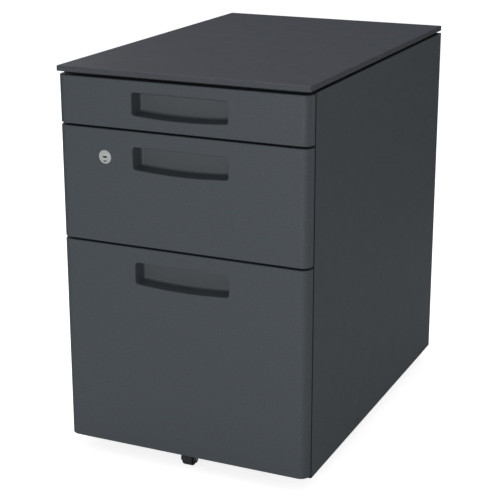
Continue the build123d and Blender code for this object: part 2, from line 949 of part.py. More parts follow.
def bar_guides():
    """Plastic blocks in the stile that the bar slides in. It rests in the lowest."""
    inside = (-inner_half, -opening_half - sheet)
    through = (body_front + sheet, bar_back + bar_from_stile)
    across = bar_x()
    gap = running_gap
    guides = []
    for low in guide_levels():
        guide = block(inside, through, (low, low + guide_height))
        guide = chamfer(guide.edges().filter_by(Axis.Z).sort_by(Axis.Y)[:2], fold)
        bore = (max(low, bar_bottom()), low + guide_height)
        hole_x = (across[0] - gap, across[1] + gap)
        guides.append(guide - block(hole_x, (bar_front - gap, bar_back + gap), bore))
    return guides


def guide_levels():
    """The lowest guide closes under the bar's foot, and the others stand over hooks."""
    over_hook = hook_levels(lower)[1] + bar_lift + 2 * guide_height
    over_arm = arm_levels()[1] + bar_lift + guide_height
    return (bar_bottom() - guide_height / 2, over_hook, over_arm)


def lock_catch(drawer):
    """A small angle on the drawer's left side, which a raised hook stands in front of."""
    near = bar_back + catch_behind_bar
    levels = (drawer.catch_bottom, drawer.catch_bottom + catch_height)
    foot_x = (-box_half - catch_steel, -box_half)
    foot = block(foot_x, (near, near + catch_length), levels)
    return foot + block((-box_half - catch_reach, -box_half), (near, near + catch_steel), levels)


# Casters


def caster_places():
    """The swivel axis of each caster."""
    x = half_width - caster_from_side
    front = body_front + caster_from_front
    back = body_back - caster_from_back
    return {
        "front_left": (-x, front),
        "front_right": (x, front),
        "rear_left": (-x, back),
        "rear_right": (x, back),
    }


def caster_hole(x, y, bottom, length):
    """The hole that a caster's screwed stem fills, in the pan or in its nut."""
    return drum((x, y, bottom), (0, 0, 1), caster_stem_radius + pin_clearance, length, boss_flats)


def caster_stem(x, y):
    """The fixed pin of a caster: a washer under the pan, a screwed end and a pivot."""
    washer_low = pan_height - caster_washer
    stem = drum((x, y, washer_low), (0, 0, 1), caster_washer_radius, caster_washer, boss_flats)
    foot = (x, y, washer_low - caster_stem_depth)
    length = caster_stem_depth + caster_washer + sheet + caster_nut_thickness
    return stem + drum(foot, (0, 0, 1), caster_stem_radius, length, boss_flats, over_corners=True)


def caster_nut(x, y):
    """The weld nut on the pan that takes a caster's stem."""
    plane = Plane(origin=(x, y, pan_top))
    hexagon = RegularPolygon(caster_nut_size / 2, 6, major_radius=False)
    nut = extrude(plane * hexagon, caster_nut_thickness)
    return nut - caster_hole(x, y, pan_top, caster_nut_thickness)


def across_caster(x, y, radius, half, flats=wheel_flats):
    """A drum on a caster's axle, as far to each side of its middle as given."""
    start = (x - half, y + caster_trail, caster_radius)
    return drum(start, (1, 0, 0), radius, 2 * half, flats)


def caster_half_width():
    return caster_web / 2 + caster_side_gap + caster_tread


def caster_fork(x, y):
    """The swivelling hood: a fender over both wheels, a boss round the stem and a web.

    The steel axle is pressed into the web and is one piece with it here.
    """
    half = caster_half_width()
    well = caster_radius + caster_hood_gap
    hood = across_caster(x, y, well + caster_hood, half)
    boss_rise = pan_height - caster_washer - swivel_gap - caster_radius
    hood += drum((x, y, caster_radius), (0, 0, 1), caster_boss_radius, boss_rise, boss_flats)
    reach = 2 * well
    across = (x - half, x + half)
    hood -= block(across, (y - reach, y + reach), (-reach, caster_radius))
    hood -= across_caster(x, y, well, half) - across_caster(x, y, well, caster_web / 2)
    hood += across_caster(x, y, caster_radius - caster_web, caster_web / 2)
    axle_foot = (x - half, y + caster_trail, caster_radius)
    hood += drum(axle_foot, (1, 0, 0), caster_axle_radius, 2 * half, boss_flats, over_corners=True)
    stem_low = pan_height - caster_washer - caster_stem_depth - swivel_gap
    return hood - caster_hole(x, y, stem_low, caster_stem_depth + 2 * swivel_gap)


def caster_wheels(x, y):
    """Two wheels, each with a bevel on its outer edge."""
    start = (x + caster_web / 2 + caster_side_gap, y + caster_trail, caster_radius)
    wheel = drum(start, (1, 0, 0), caster_radius, caster_tread, wheel_flats)
    wheel = chamfer(wheel.faces().sort_by(Axis.X)[-1].edges(), caster_chamfer)
    bore_radius = caster_axle_radius + pin_clearance
    wheel -= drum(start, (1, 0, 0), bore_radius, caster_tread, boss_flats)
    return [wheel, mirror(wheel, Plane.YZ.offset(x))]


# Anti-tip roller, which runs just over the floor under the lower front


def tip_centre():
    return (panel_back + tip_wheel_behind_front, tip_floor_gap + tip_wheel_radius)


def across_tip(radius, half, flats, over_corners=False):
    """A drum on the anti-tip roller's axle, as far to each side as given."""
    y, z = tip_centre()
    return drum((-half, y, z), (1, 0, 0), radius, 2 * half, flats, over_corners)


def tip_housing():
    """Two round-ended cheeks under a bridge that is fixed to the lower front's back."""
    slot = tip_wheel_width / 2 + tip_side_gap
    half = slot + tip_cheek
    y, z = tip_centre()
    housing = block((-half, half), (panel_back, y + tip_cheek_radius), (z, tip_bridge_top))
    housing += across_tip(tip_cheek_radius, half, wheel_flats)
    room = (y - tip_wheel_radius, y + tip_wheel_radius)
    housing -= block((-slot, slot), room, (0, tip_bridge_bottom))
    return housing - across_tip(tip_axle_radius + pin_clearance, half, boss_flats)


def tip_axle():
    half = tip_wheel_width / 2 + tip_side_gap + tip_cheek
    return across_tip(tip_axle_radius, half, boss_flats, over_corners=True)


def tip_wheel():
    """A broad plain wheel."""
    half = tip_wheel_width / 2
    wheel = across_tip(tip_wheel_radius, half, wheel_flats)
    return wheel - across_tip(tip_axle_radius + pin_clearance, half, boss_flats)


# The whole cabinet


def write_casing():
    write("top_board", top_board())
    write("board_core", board_core())
    write("board_spacers", *board_spacers())
    write("board_screws", *board_screws())
    right = side_panel()
    left = mirror(right, Plane.YZ)
    for window in lock_windows():
        left -= window
    write("left_side_panel", left)
    write("right_side_panel", right)
    write("top_panel", top_panel())
    write("back_panel", back_panel())
    write("base_pan", base_pan())
    write("rear_uprights", *both_sides(rear_upright()))
    write("drawer_bumpers", *drawer_bumpers())


def write_fronts():
    for drawer in drawers:
        front = drawer_front(drawer)
        panel = inner_panel(drawer)
        if drawer is middle:
            front -= lock_rod(lock_hole_radius, front_plane, front_wall)
            panel -= lock_drum(lock_body_radius + pin_clearance, panel_back - sheet, sheet)
        write(f"{drawer.name}_drawer_front", front)
        write(f"{drawer.name}_drawer_inner_panel", panel)
        write(f"{drawer.name}_pull_cup", pull_cup(drawer))
        write(f"{drawer.name}_lock_catch", lock_catch(drawer))


def write_boxes():
    write("upper_drawer_box", upper_box())
    write("middle_drawer_box", middle_box())
    write("lower_drawer_box", lower_box())
    write("pen_tray", pen_tray())
    write("middle_drawer_divider", middle_divider())
    write("file_follower_plate", file_plate())
    write("hanging_file_rails", *both_sides(file_rail()))


def write_slides():
    for drawer in (upper, middle):
        outer = outer_member(drawer, short_slide_height)
        write(f"{drawer.name}_slide_channels", *both_sides(outer))
        write(f"{drawer.name}_slide_rails", *both_sides(short_slide_rail(drawer)))
        write(f"{drawer.name}_ball_cages", *short_slide_cages(drawer))
    write("lower_slide_channels", *both_sides(outer_member(lower, long_slide_height)))
    write("lower_slide_middles", *both_sides(middle_member()))
    write("lower_slide_rails", *both_sides(long_slide_rail()))
    write("lower_outer_ball_cages", *lower_outer_cages())
    write("lower_inner_ball_cages", *lower_inner_cages())


def write_lock():
    write("lock_barrel", lock_barrel())
    write("lock_nut", lock_nut())
    write("lock_plug", lock_plug())
    write("lock_cam", lock_cam())
    write("lock_bar", lock_bar())
    write("lock_bar_guides", *bar_guides())


def write_running_gear():
    places = caster_places()
    write("caster_stems", *[caster_stem(x, y) for x, y in places.values()])
    write("caster_weld_nuts", *[caster_nut(x, y) for x, y in places.values()])
    for name, (x, y) in places.items():
        write(f"{name}_caster_fork", caster_fork(x, y))
        write(f"{name}_caster_wheels", *caster_wheels(x, y))
    write("anti_tip_housing", tip_housing())
    write("anti_tip_axle", tip_axle())
    write("anti_tip_wheel", tip_wheel())


os.makedirs("parts", exist_ok=True)
write_casing()
write_fronts()
write_boxes()
write_slides()
write_lock()
write_running_gear()
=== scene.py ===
import json
import math

import bmesh
import bpy
from bpy.props import FloatProperty, FloatVectorProperty, IntProperty, PointerProperty
from mathutils import Matrix, Vector


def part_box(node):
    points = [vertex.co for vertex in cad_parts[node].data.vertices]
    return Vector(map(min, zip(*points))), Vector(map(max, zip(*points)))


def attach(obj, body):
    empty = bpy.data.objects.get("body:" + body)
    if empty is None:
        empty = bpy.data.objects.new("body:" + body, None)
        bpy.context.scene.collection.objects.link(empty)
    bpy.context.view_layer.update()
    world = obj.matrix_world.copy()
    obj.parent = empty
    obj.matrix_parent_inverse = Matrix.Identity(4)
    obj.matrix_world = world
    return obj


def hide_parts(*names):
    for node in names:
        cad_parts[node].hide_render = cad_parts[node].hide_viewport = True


bl_info = {
    "name": "Rolling pedestal cabinet",
    "version": (1, 0, 0),
    "blender": (4, 5, 0),
    "location": "View3D > Sidebar > Pedestal",
    "description": "Builds the visible pieces of a three-drawer rolling pedestal cabinet",
    "category": "Object",
}

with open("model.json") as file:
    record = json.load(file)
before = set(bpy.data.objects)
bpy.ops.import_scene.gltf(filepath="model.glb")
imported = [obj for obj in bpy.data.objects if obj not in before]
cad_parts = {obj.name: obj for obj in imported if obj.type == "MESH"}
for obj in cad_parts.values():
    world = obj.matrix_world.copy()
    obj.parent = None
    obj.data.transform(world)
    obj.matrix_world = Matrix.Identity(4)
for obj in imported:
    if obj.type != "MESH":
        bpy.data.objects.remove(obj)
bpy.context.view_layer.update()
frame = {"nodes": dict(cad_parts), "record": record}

MM = 0.001
DRAWERS = ("upper", "middle", "lower")
CASTERS = ("front_left", "front_right", "rear_left", "rear_right")
BODY_OF_NODE = {
    node: body
    for body, nodes in frame["record"]["behaviour"]["bodies"].items()
    for node in nodes
}
SLOT_OF_NODE = {part["node"]: part["material_slot"] for part in frame["record"]["subparts"]}

# Points closer than this are one point, in a mesh that is made here and in a CAD node's mesh
SAME_POINT = 1e-7
SAME_CAD_POINT = 2e-6


# Sizes and colours that a user can change


class PaintSettings(bpy.types.PropertyGroup):
    casing_colour: FloatVectorProperty(
        name="Casing colour",
        description="Powder coat of the fronts and the casing",
        subtype="COLOR",
        size=3,
        default=(0.0725, 0.0845, 0.0965),
    )
    board_colour: FloatVectorProperty(
        name="Board colour",
        description="Powder coat of the top board",
        subtype="COLOR",
        size=3,
        default=(0.0670, 0.0730, 0.0860),
    )
    inner_colour: FloatVectorProperty(
        name="Inner colour",
        description="Paint of the drawer boxes and other inner steel",
        subtype="COLOR",
        size=3,
        default=(0.0560, 0.0620, 0.0680),
    )
    # Painted shade: near black for the faces seen through the seams and gaps between parts,
    # standing in for the shade that falls there
    gap_shade_colour: FloatVectorProperty(
        name="Gap shade colour",
        description="Paint of the casing's front edges, behind the fronts",
        subtype="COLOR",
        size=3,
        default=(0.0120, 0.0145, 0.0160),
    )
    # Painted shade: near black inside the lock's keyway and index mark, where shade falls
    shade_colour: FloatVectorProperty(
        name="Shade colour",
        description="Dark fill in the lock's mark and keyway",
        subtype="COLOR",
        size=3,
        default=(0.0050, 0.0070, 0.0075),
    )
    plastic_colour: FloatVectorProperty(
        name="Plastic colour",
        description="Moulded plastic of the tray, spacers and guides",
        subtype="COLOR",
        size=3,
        default=(0.0160, 0.0185, 0.0205),
    )
    pull_colour: FloatVectorProperty(
        name="Pull colour",
        description="Moulded finger pulls",
        subtype="COLOR",
        size=3,
        default=(0.0735, 0.0855, 0.0955),
    )
    lock_colour: FloatVectorProperty(
        name="Lock colour",
        description="Satin plated face of the lock",
        subtype="COLOR",
        size=3,
        default=(0.64, 0.66, 0.66),
    )
    tread_colour: FloatVectorProperty(
        name="Tread colour",
        description="Elastomer of the casters' wheels and the roller",
        subtype="COLOR",
        size=3,
        default=(0.020, 0.024, 0.027),
    )
    zinc_colour: FloatVectorProperty(
        name="Zinc colour",
        description="Plated steel of the slides and the lock bar",
        subtype="COLOR",
        size=3,
        default=(0.52, 0.53, 0.54),
    )
    core_colour: FloatVectorProperty(
        name="Core colour",
        description="Pressed wood fibre inside the top board",
        subtype="COLOR",
        size=3,
        default=(0.30, 0.21, 0.13),
    )


class FrontSettings(bpy.types.PropertyGroup):
    corner: FloatProperty(
        name="Corner",
        description="Radius of a front's upright corners",
        default=14.0 * MM,
        unit="LENGTH",
    )
    edge: FloatProperty(
        name="Edge",
        description="Radius of a front's upper and lower edges",
        default=1.4 * MM,
        unit="LENGTH",
    )
    wall: FloatProperty(
        name="Wall",
        description="Thickness of the pressed skin",
        default=1.2 * MM,
        unit="LENGTH",
    )


class PullSettings(bpy.types.PropertyGroup):
    width: FloatProperty(
        name="Width",
        description="Width of a pull's mouth",
        default=151.0 * MM,
        unit="LENGTH",
    )
    height: FloatProperty(
        name="Height",
        description="Height of the mouth's ends",
        default=33.0 * MM,
        unit="LENGTH",
    )
    sag: FloatProperty(
        name="Sag",
        description="How far the lower edge bows down",
        default=3.5 * MM,
        unit="LENGTH",
    )
    upper_corner: FloatProperty(
        name="Upper corner",
        description="Radius of the upper corners",
        default=5.0 * MM,
        unit="LENGTH",
    )
    lower_corner: FloatProperty(
        name="Lower corner",
        description="Radius of the lower corners",
        default=4.0 * MM,
        unit="LENGTH",
    )
    rim: FloatProperty(
        name="Rim",
        description="Radius of the mouth's turned-in edge",
        default=1.0 * MM,
        unit="LENGTH",
    )
    depth: FloatProperty(
        name="Depth",
        description="Depth of the recess",
        default=22.0 * MM,
        unit="LENGTH",
    )
    draft: FloatProperty(
        name="Draft",
        description="Slope of the recess's walls",
        default=math.radians(8),
        unit="ROTATION",
    )
    back_fillet: FloatProperty(
        name="Back fillet",
        description="Radius round the recess's back",
        default=4.5 * MM,
        unit="LENGTH",
    )
    pocket_width: FloatProperty(
        name="Pocket width",
        description="Width of the pocket behind the upper edge",
        default=120 * MM,
        unit="LENGTH",
    )
    pocket_height: FloatProperty(
        name="Pocket height",
        description="Height of that pocket over the mouth",
        default=8 * MM,
        unit="LENGTH",
    )


class WheelSettings(bpy.types.PropertyGroup):
    spokes: IntProperty(
        name="Spokes",
        description="Ribs on a caster wheel's outer face",
        default=7,
        min=3,
        max=16,
    )
    balls: IntProperty(
        name="Balls",
        description="Balls in each cage of a slide",
        default=9,
        min=2,
        max=30,
    )


class StageSettings(bpy.types.PropertyGroup):
    lens: FloatProperty(
        name="Lens",
        description="The camera's focal length",
        default=99.0,
        unit="CAMERA",
    )
    floor_colour: FloatVectorProperty(
        name="Floor colour",
        description="Colour of the plain floor",
        subtype="COLOR",
        size=3,
        default=(0.80, 0.80, 0.80),
    )


# Node trees


def set_inputs(tree, node, inputs):
    """Links a node's inputs to the given sockets, or sets them to the given values."""
    for name, value in inputs.items():
        if isinstance(value, bpy.types.NodeSocket):
            tree.links.new(value, node.inputs[name])
        else:
            node.inputs[name].default_value = value


def add_node(tree, kind, inputs, **settings):
    """A new node with its settings and its inputs."""
    node = tree.nodes.new(kind)
    for name, value in settings.items():
        setattr(node, name, value)
    set_inputs(tree, node, inputs)
    return node


def geometry_tree(name, inputs):
    """A tree that makes geometry, with a material and other named inputs, and its start node."""
    tree = bpy.data.node_groups.new(name, "GeometryNodeTree")
    tree.interface.new_socket("Geometry", in_out="OUTPUT", socket_type="NodeSocketGeometry")
    for title, kind in {"Material": "Material", **inputs}.items():
        tree.interface.new_socket(title, in_out="INPUT", socket_type=f"NodeSocket{kind}")
    return tree, tree.nodes.new("NodeGroupInput")


def close_tree(tree, geometry, start):
    """Ends a tree with real geometry in the given material."""
    real = add_node(tree, "GeometryNodeRealizeInstances", {"Geometry": geometry})
    coat = {"Geometry": real.outputs["Geometry"], "Material": start.outputs["Material"]}
    coated = add_node(tree, "GeometryNodeSetMaterial", coat)
    add_node(tree, "NodeGroupOutput", {"Geometry": coated.outputs["Geometry"]})


def run_tree(name, tree, values):
    """Runs a tree on an empty mesh with the given inputs, and keeps the plain result."""
    piece = bpy.data.objects.new(name, bpy.data.meshes.new(name))
    bpy.context.scene.collection.objects.link(piece)
    modifier = piece.modifiers.new(name, "NODES")
    modifier.node_group = tree
    for item in tree.interface.items_tree:
        if item.in_out == "INPUT" and item.name in values:
            modifier[item.identifier] = values[item.name]
    return bake_modifiers(piece)


# Materials. Patterns are laid out on Object coordinates, in metres.


def blank_material(name):
    """A node material with only its surface shader, its tree and its Object coordinates."""
    material = bpy.data.materials.new(name)
    material.use_nodes = True
    tree = material.node_tree
    return material, tree, tree.nodes.new("ShaderNodeTexCoord").outputs["Object"]


def set_surface(material, inputs):
    """Sets a material's surface shader, and gives the material back."""
    tree = material.node_tree
    set_inputs(tree, tree.nodes["Principled BSDF"], inputs)
    return material


def noise(tree, where, scale, detail, stretch=None):
    """A noise pattern of so many cycles a metre, stretched along the axes if asked."""
    if stretch:
        mapping = add_node(tree, "ShaderNodeMapping", {"Vector": where, "Scale": stretch})
        where = mapping.outputs["Vector"]
    inputs = {"Vector": where, "Scale": scale, "Detail": detail}
    return add_node(tree, "ShaderNodeTexNoise", inputs).outputs["Fac"]


def cells(tree, where, scale):
    """A pattern of cells, so many a metre."""
    inputs = {"Vector": where, "Scale": scale}
    return add_node(tree, "ShaderNodeTexVoronoi", inputs).outputs["Distance"]


def spread(tree, pattern, low, high, start=0.3, end=0.7):
    """Maps a pattern's values between start and end to a range of numbers."""
    inputs = {"Value": pattern, "From Min": start, "From Max": end, "To Min": low, "To Max": high}
    return add_node(tree, "ShaderNodeMapRange", inputs).outputs["Result"]


def two_tones(tree, pattern, colour, change):
    """A colour that a pattern makes a little darker or lighter."""
    darker = [value * (1 - change) for value in colour]
    lighter = [value * (1 + change) for value in colour]
    inputs = {"Factor": pattern, "A": (*darker, 1), "B": (*lighter, 1)}
    return add_node(tree, "ShaderNodeMix", inputs, data_type="RGBA").outputs["Result"]


def relief(tree, pattern, strength, distance):
    """The surface's normal with a pattern's relief in it."""
    inputs = {"Height": pattern, "Strength": strength, "Distance": distance}
    return add_node(tree, "ShaderNodeBump", inputs).outputs["Normal"]


def powder_coat(name, colour):
    """Baked powder coat: a fine speckle, an orange peel and a satin gloss."""
    material, tree, where = blank_material(name)
    speckle = noise(tree, where, scale=560, detail=6)
    patches = noise(tree, where, scale=30, detail=3)
    peel = noise(tree, where, scale=900, detail=3)
    surface = {
        "Base Color": two_tones(tree, speckle, colour, change=0.45),
        "Roughness": spread(tree, patches, low=0.48, high=0.54),
        "Normal": relief(tree, peel, strength=0.25, distance=0.2 * MM),
        "Specular IOR Level": 0.3,
    }
    return set_surface(material, surface)


def moulded_plastic(name, colour, roughness=0.55):
    """Injection-moulded plastic with a fine spark-eroded grain."""
    material, tree, where = blank_material(name)
    grain = cells(tree, where, scale=1500)
    clouds = noise(tree, where, scale=14, detail=3)
    dull = noise(tree, where, scale=120, detail=3)
    surface = {
        "Base Color": two_tones(tree, clouds, colour, change=0.06),
        "Roughness": spread(tree, dull, low=roughness - 0.06, high=roughness + 0.06),
        "Normal": relief(tree, grain, strength=0.12, distance=0.15 * MM),
    }
    return set_surface(material, surface)


def soft_tread(name, colour):
    """Dull elastomer with a mottled, slightly dusty surface."""
    material, tree, where = blank_material(name)
    mottle = noise(tree, where, scale=240, detail=5)
    scuffs = noise(tree, where, scale=70, detail=3)
    surface = {
        "Base Color": two_tones(tree, mottle, colour, change=0.16),
        "Roughness": spread(tree, scuffs, low=0.60, high=0.80),
        "Normal": relief(tree, mottle, strength=0.15, distance=0.2 * MM),
    }
    return set_surface(material, surface)


def zinc_plate(name, colour):
    """Bright zinc on rolled steel, with rolling marks along the depth and faint spangle."""
    material, tree, where = blank_material(name)
    marks = noise(tree, where, scale=40, detail=4, stretch=(40, 1, 40))
    spangle = cells(tree, where, scale=220)
    surface = {
        "Base Color": two_tones(tree, spangle, colour, change=0.09),
        "Roughness": spread(tree, marks, low=0.28, high=0.44),
        "Normal": relief(tree, marks, strength=0.05, distance=0.1 * MM),
        "Metallic": 0.5,
    }
    return set_surface(material, surface)


def fibreboard(name, colour):
    """Pressed wood fibre, mottled and matt."""
    material, tree, where = blank_material(name)
    fibres = noise(tree, where, scale=700, detail=6)
    surface = {
        "Base Color": two_tones(tree, fibres, colour, change=0.3),
        "Roughness": 0.85,
        "Normal": relief(tree, fibres, strength=0.2, distance=0.2 * MM),
    }
    return set_surface(material, surface)


def turned_plate(name, colour, centre):
    """Satin plate over a turned face, with fine rings round the given centre."""
    material, tree, where = blank_material(name)
    mapping = add_node(tree, "ShaderNodeMapping", {"Vector": where, "Location": -centre})
    wave = {"Vector": mapping.outputs["Vector"], "Scale": 900, "Distortion": 0.6}
    texture = add_node(tree, "ShaderNodeTexWave", wave, wave_type="RINGS", rings_direction="Y")
    rings = texture.outputs["Fac"]
    clouds = noise(tree, where, scale=300, detail=3)
    surface = {
        "Base Color": two_tones(tree, clouds, colour, change=0.06),
        "Roughness": spread(tree, rings, low=0.30, high=0.40, start=0, end=1),
        "Normal": relief(tree, rings, strength=0.05, distance=0.05 * MM),
        "Metallic": 0.35,
    }
    return set_surface(material, surface)


# Each finish's material, by the record's slot name or by a name of its own
FINISHES = {
    "case_paint": "Casing powder coat",
    "board_paint": "Board powder coat",
    "box_paint": "Inner paint",
    # The stile finish below is painted shade for faces in seams and gaps, not a paint the cabinet
    # has
    "painted_gap_shade": "Painted gap shade",
    "lock_shade": "Lock shade",
    "black_plastic": "Black plastic",
    "pull_plastic": "Pull plastic",
    "soft_black": "Soft tread",
    "zinc_steel": "Zinc plate",
    "lock_chrome": "Turned lock plate",
    "core_board": "Fibreboard",
}


def make_finishes():
    """Makes every finish from the paint settings."""
    paint = bpy.context.scene.pedestal_paint
    powder_coat(FINISHES["case_paint"], paint.casing_colour)
    powder_coat(FINISHES["board_paint"], paint.board_colour)
    powder_coat(FINISHES["box_paint"], paint.inner_colour)
    powder_coat(FINISHES["painted_gap_shade"], paint.gap_shade_colour)
    powder_coat(FINISHES["lock_shade"], paint.shade_colour)
    moulded_plastic(FINISHES["black_plastic"], paint.plastic_colour)
    moulded_plastic(FINISHES["pull_plastic"], paint.pull_colour, roughness=0.5)
    soft_tread(FINISHES["soft_black"], paint.tread_colour)
    zinc_plate(FINISHES["zinc_steel"], paint.zinc_colour)
    fibreboard(FINISHES["core_board"], paint.core_colour)
    turned_plate(FINISHES["lock_chrome"], paint.lock_colour, lock_axis())


def finish(name):
    """A finish's material. The first call makes them all."""
    if FINISHES[name] not in bpy.data.materials:
        make_finishes()
    return bpy.data.materials[FINISHES[name]]


# Meshes


def mesh_object(name, bm):
    """An object of a bmesh, with its doubles merged and its faces turned outwards."""
    bmesh.ops.remove_doubles(bm, verts=bm.verts, dist=SAME_POINT)
    bmesh.ops.recalc_face_normals(bm, faces=bm.faces)
    mesh = bpy.data.meshes.new(name)
    bm.to_mesh(mesh)
    bm.free()
    piece = bpy.data.objects.new(name, mesh)
    bpy.context.scene.collection.objects.link(piece)
    return piece


def remove_piece(piece):
    """Deletes an object and its mesh."""
    mesh = piece.data
    bpy.data.objects.remove(piece)
    bpy.data.meshes.remove(mesh)


def bake_modifiers(piece):
    """Turns a piece's evaluated shape into its plain mesh, and drops its modifiers."""
    graph = bpy.context.evaluated_depsgraph_get()
    graph.update()
    mesh = bpy.data.meshes.new_from_object(piece.evaluated_get(graph), depsgraph=graph)
    piece.modifiers.clear()
    old = piece.data
    piece.data = mesh
    bpy.data.meshes.remove(old)
    return piece


def smooth_by_angle(piece, degrees):
    """Smooth shading that keeps sharp edges, with flat faces left flat."""
    piece.data.shade_smooth()
    piece.data.set_sharp_from_angle(angle=math.radians(degrees))
    weights = piece.modifiers.new("Flat faces", "WEIGHTED_NORMAL")
    weights.keep_sharp = True
    return bake_modifiers(piece)


def finish_piece(piece, node, finish_name=None, degrees=32):
    """Shades a piece, gives it its finish and its body, and hides the node it stands for."""
    smooth_by_angle(piece, degrees)
    slot = SLOT_OF_NODE[node]
    piece.data.materials.clear()
    piece.data.materials.append(finish(finish_name or slot))
    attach(piece, BODY_OF_NODE[node])
    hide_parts(node)
    return piece


def coat_faces(piece, finish_name, chosen):
    """Gives a piece's chosen faces a second finish."""
    mesh = piece.data
    mesh.materials.append(finish(finish_name))
    for face in mesh.polygons:
        if chosen(face):
            face.material_index = len(mesh.materials) - 1


def stacked(name, rings):
    """A solid skinned over rings of points, each as long as the next, with capped ends."""
    bm = bmesh.new()
    loops = [[bm.verts.new(point) for point in ring] for ring in rings]
    count = len(rings[0])
    for one, two in zip(loops, loops[1:]):
        for i in range(count):
            j = (i + 1) % count
            bm.faces.new((one[i], one[j], two[j], two[i]))
    bm.faces.new(loops[0])
    bm.faces.new(loops[-1])
    return mesh_object(name, bm)


def outwards(axis, segments):
    """Unit directions at right angles to an axis, evenly round it."""
    side = axis.orthogonal().normalized()
    other = axis.cross(side)
    angles = [math.tau * i / segments for i in range(segments)]
    return [side * math.cos(angle) + other * math.sin(angle) for angle in angles]


def turned(name, profile, centre, axis, segments=64):
    """A solid of revolution: a profile of (along, radius) turned about an axis."""
    axis = Vector(axis)
    directions = outwards(axis, segments)
    rings = []
    for along, radius in profile:
        middle = Vector(centre) + axis * along
        rings.append([middle + direction * radius for direction in directions])
    return stacked(name, rings)


def tube(name, profile, centre, axis, segments=96):
    """A ring turned from a closed profile of (along, radius)."""
    axis = Vector(axis)
    bm = bmesh.new()
    loops = []
    for direction in outwards(axis, segments):
        points = [Vector(centre) + axis * along + direction * radius for along, radius in profile]
        loops.append([bm.verts.new(point) for point in points])
    count = len(profile)
    for one, two in zip(loops, loops[1:] + loops[:1]):
        for k in range(count):
            j = (k + 1) % count
            bm.faces.new((one[k], one[j], two[j], two[k]))
    return mesh_object(name, bm)


def brick(name, low, high, bevel=0.0, segments=3):
    """A block between two corners, with its edges rounded."""
    bm = bmesh.new()
    bmesh.ops.create_cube(bm, size=1)
    size = Vector(high) - Vector(low)
    middle = (Vector(high) + Vector(low)) / 2
    for vert in bm.verts:
        vert.co = Vector([vert.co[i] * size[i] + middle[i] for i in range(3)])
    if bevel:
        bmesh.ops.bevel(
            bm, geom=bm.edges[:], offset=bevel, segments=segments, profile=0.5, affect="EDGES"
        )
    return mesh_object(name, bm)


def combine(piece, others, operation):
    """Adds or cuts solids, which are used up."""
    for other in others:
        modifier = piece.modifiers.new("Join or cut", "BOOLEAN")
        modifier.operation = operation
        modifier.solver = "EXACT"
        modifier.object = other
    bake_modifiers(piece)
    for other in others:
        remove_piece(other)
    return piece


def joined(pieces):
    """Several meshes in one object, the first. The others are used up."""
    first, *others = pieces
    bm = bmesh.new()
    for piece in pieces:
        bm.from_mesh(piece.data)
    bm.to_mesh(first.data)
    bm.free()
    for other in others:
        remove_piece(other)
    return first


def copy_of(piece, name, offset):
    """The same shape at another place, with the place in its mesh."""
    mesh = piece.data.copy()
    mesh.transform(Matrix.Translation(offset))
    copy = bpy.data.objects.new(name, mesh)
    bpy.context.scene.collection.objects.link(copy)
    return copy


def merged_node(node):
    """A CAD node's mesh as a bmesh, with its doubles merged."""
    bm = bmesh.new()
    bm.from_mesh(frame["nodes"][node].data)
    bmesh.ops.remove_doubles(bm, verts=bm.verts, dist=SAME_CAD_POINT)
    return bm


def without_slivers(piece):
    """Closes up edges and faces of no size, which clamped bevels leave."""
    bm = bmesh.new()
    bm.from_mesh(piece.data)
    bmesh.ops.dissolve_degenerate(bm, dist=SAME_CAD_POINT, edges=bm.edges)
    bm.to_mesh(piece.data)
    bm.free()
    return piece


def with_soft_edges(node, radius):
    """A CAD node's shape with merged faces and slightly rounded edges."""
    bm = merged_node(node)
    bmesh.ops.join_triangles(
        bm, faces=bm.faces, angle_face_threshold=math.radians(1), angle_shape_threshold=math.pi
    )
    piece = mesh_object(f"{node}_shape", bm)
    bevel = piece.modifiers.new("Soft edges", "BEVEL")
    bevel.width = radius
    bevel.segments = 2
    bevel.limit_method = "ANGLE"
    bevel.angle_limit = math.radians(40)
    bevel.use_clamp_overlap = True
    bevel.miter_outer = "MITER_ARC"
    return without_slivers(bake_modifiers(piece))


def softened(node, radius=0.25 * MM, finish_name=None):
    """A sheet-metal or moulded node as a copy with soft edges and its own finish."""
    return finish_piece(with_soft_edges(node, radius), node, finish_name)


# Outlines and profiles


def quarter(steps):
    """Angles over a quarter turn."""
    return [math.pi / 2 * i / steps for i in range(steps + 1)]


def arc(across, up, radius, start, turn, steps):
    """Points round a centre, from a start angle over a turn, both in degrees."""
    angles = [math.radians(start + turn * i / steps) for i in range(steps + 1)]
    return [(across + radius * math.cos(angle), up + radius * math.sin(angle)) for angle in angles]


def start_edge(level, edge, steps):
    """Pairs of inset and level that round the edge where a solid starts."""
    return [
        (edge * (1 - math.sin(angle)), level + edge * (1 - math.cos(angle)))
        for angle in quarter(steps)
    ]


def end_edge(level, edge, steps):
    """Pairs of inset and level that round the edge where a solid ends."""
    return [
        (edge * (1 - math.cos(angle)), level - edge * (1 - math.sin(angle)))
        for angle in quarter(steps)
    ]


def round_rim(radius, length, near, far, near_steps=4, far_steps=4):
    """A turned solid's rim as (along, radius), with its near and far edges rounded."""
    edges = start_edge(0, near, near_steps) + end_edge(length, far, far_steps)
    return [(along, radius - inset) for inset, along in edges]


# Top board

SCREW_HEAD_RADIUS = 5 * MM


def rounded_plan(low, high, inset, corner, steps=6):
    """A rectangle's outline with round corners, drawn in from its edges by an inset."""
    least_corner = 0.2 * MM
    radius = max(corner - inset, least_corner)
    points = []
    for sign_x, sign_y, start in ((1, 1, 0), (-1, 1, 90), (-1, -1, 180), (1, -1, 270)):
        x = (high.x if sign_x > 0 else low.x) - sign_x * (inset + radius)
        y = (high.y if sign_y > 0 else low.y) - sign_y * (inset + radius)
        points += arc(x, y, radius, start, 90, steps)
    return points


def board_shape(low, high, corner, top_edge, bottom_edge):
    """The board as a solid plate with round corners and edges."""
    levels = start_edge(low.z, bottom_edge, 4) + end_edge(high.z, top_edge, 5)
    rings = []
    for inset, z in levels:
        rings.append([(x, y, z) for x, y in rounded_plan(low, high, inset, corner)])
    return stacked("floating_top_board", rings)


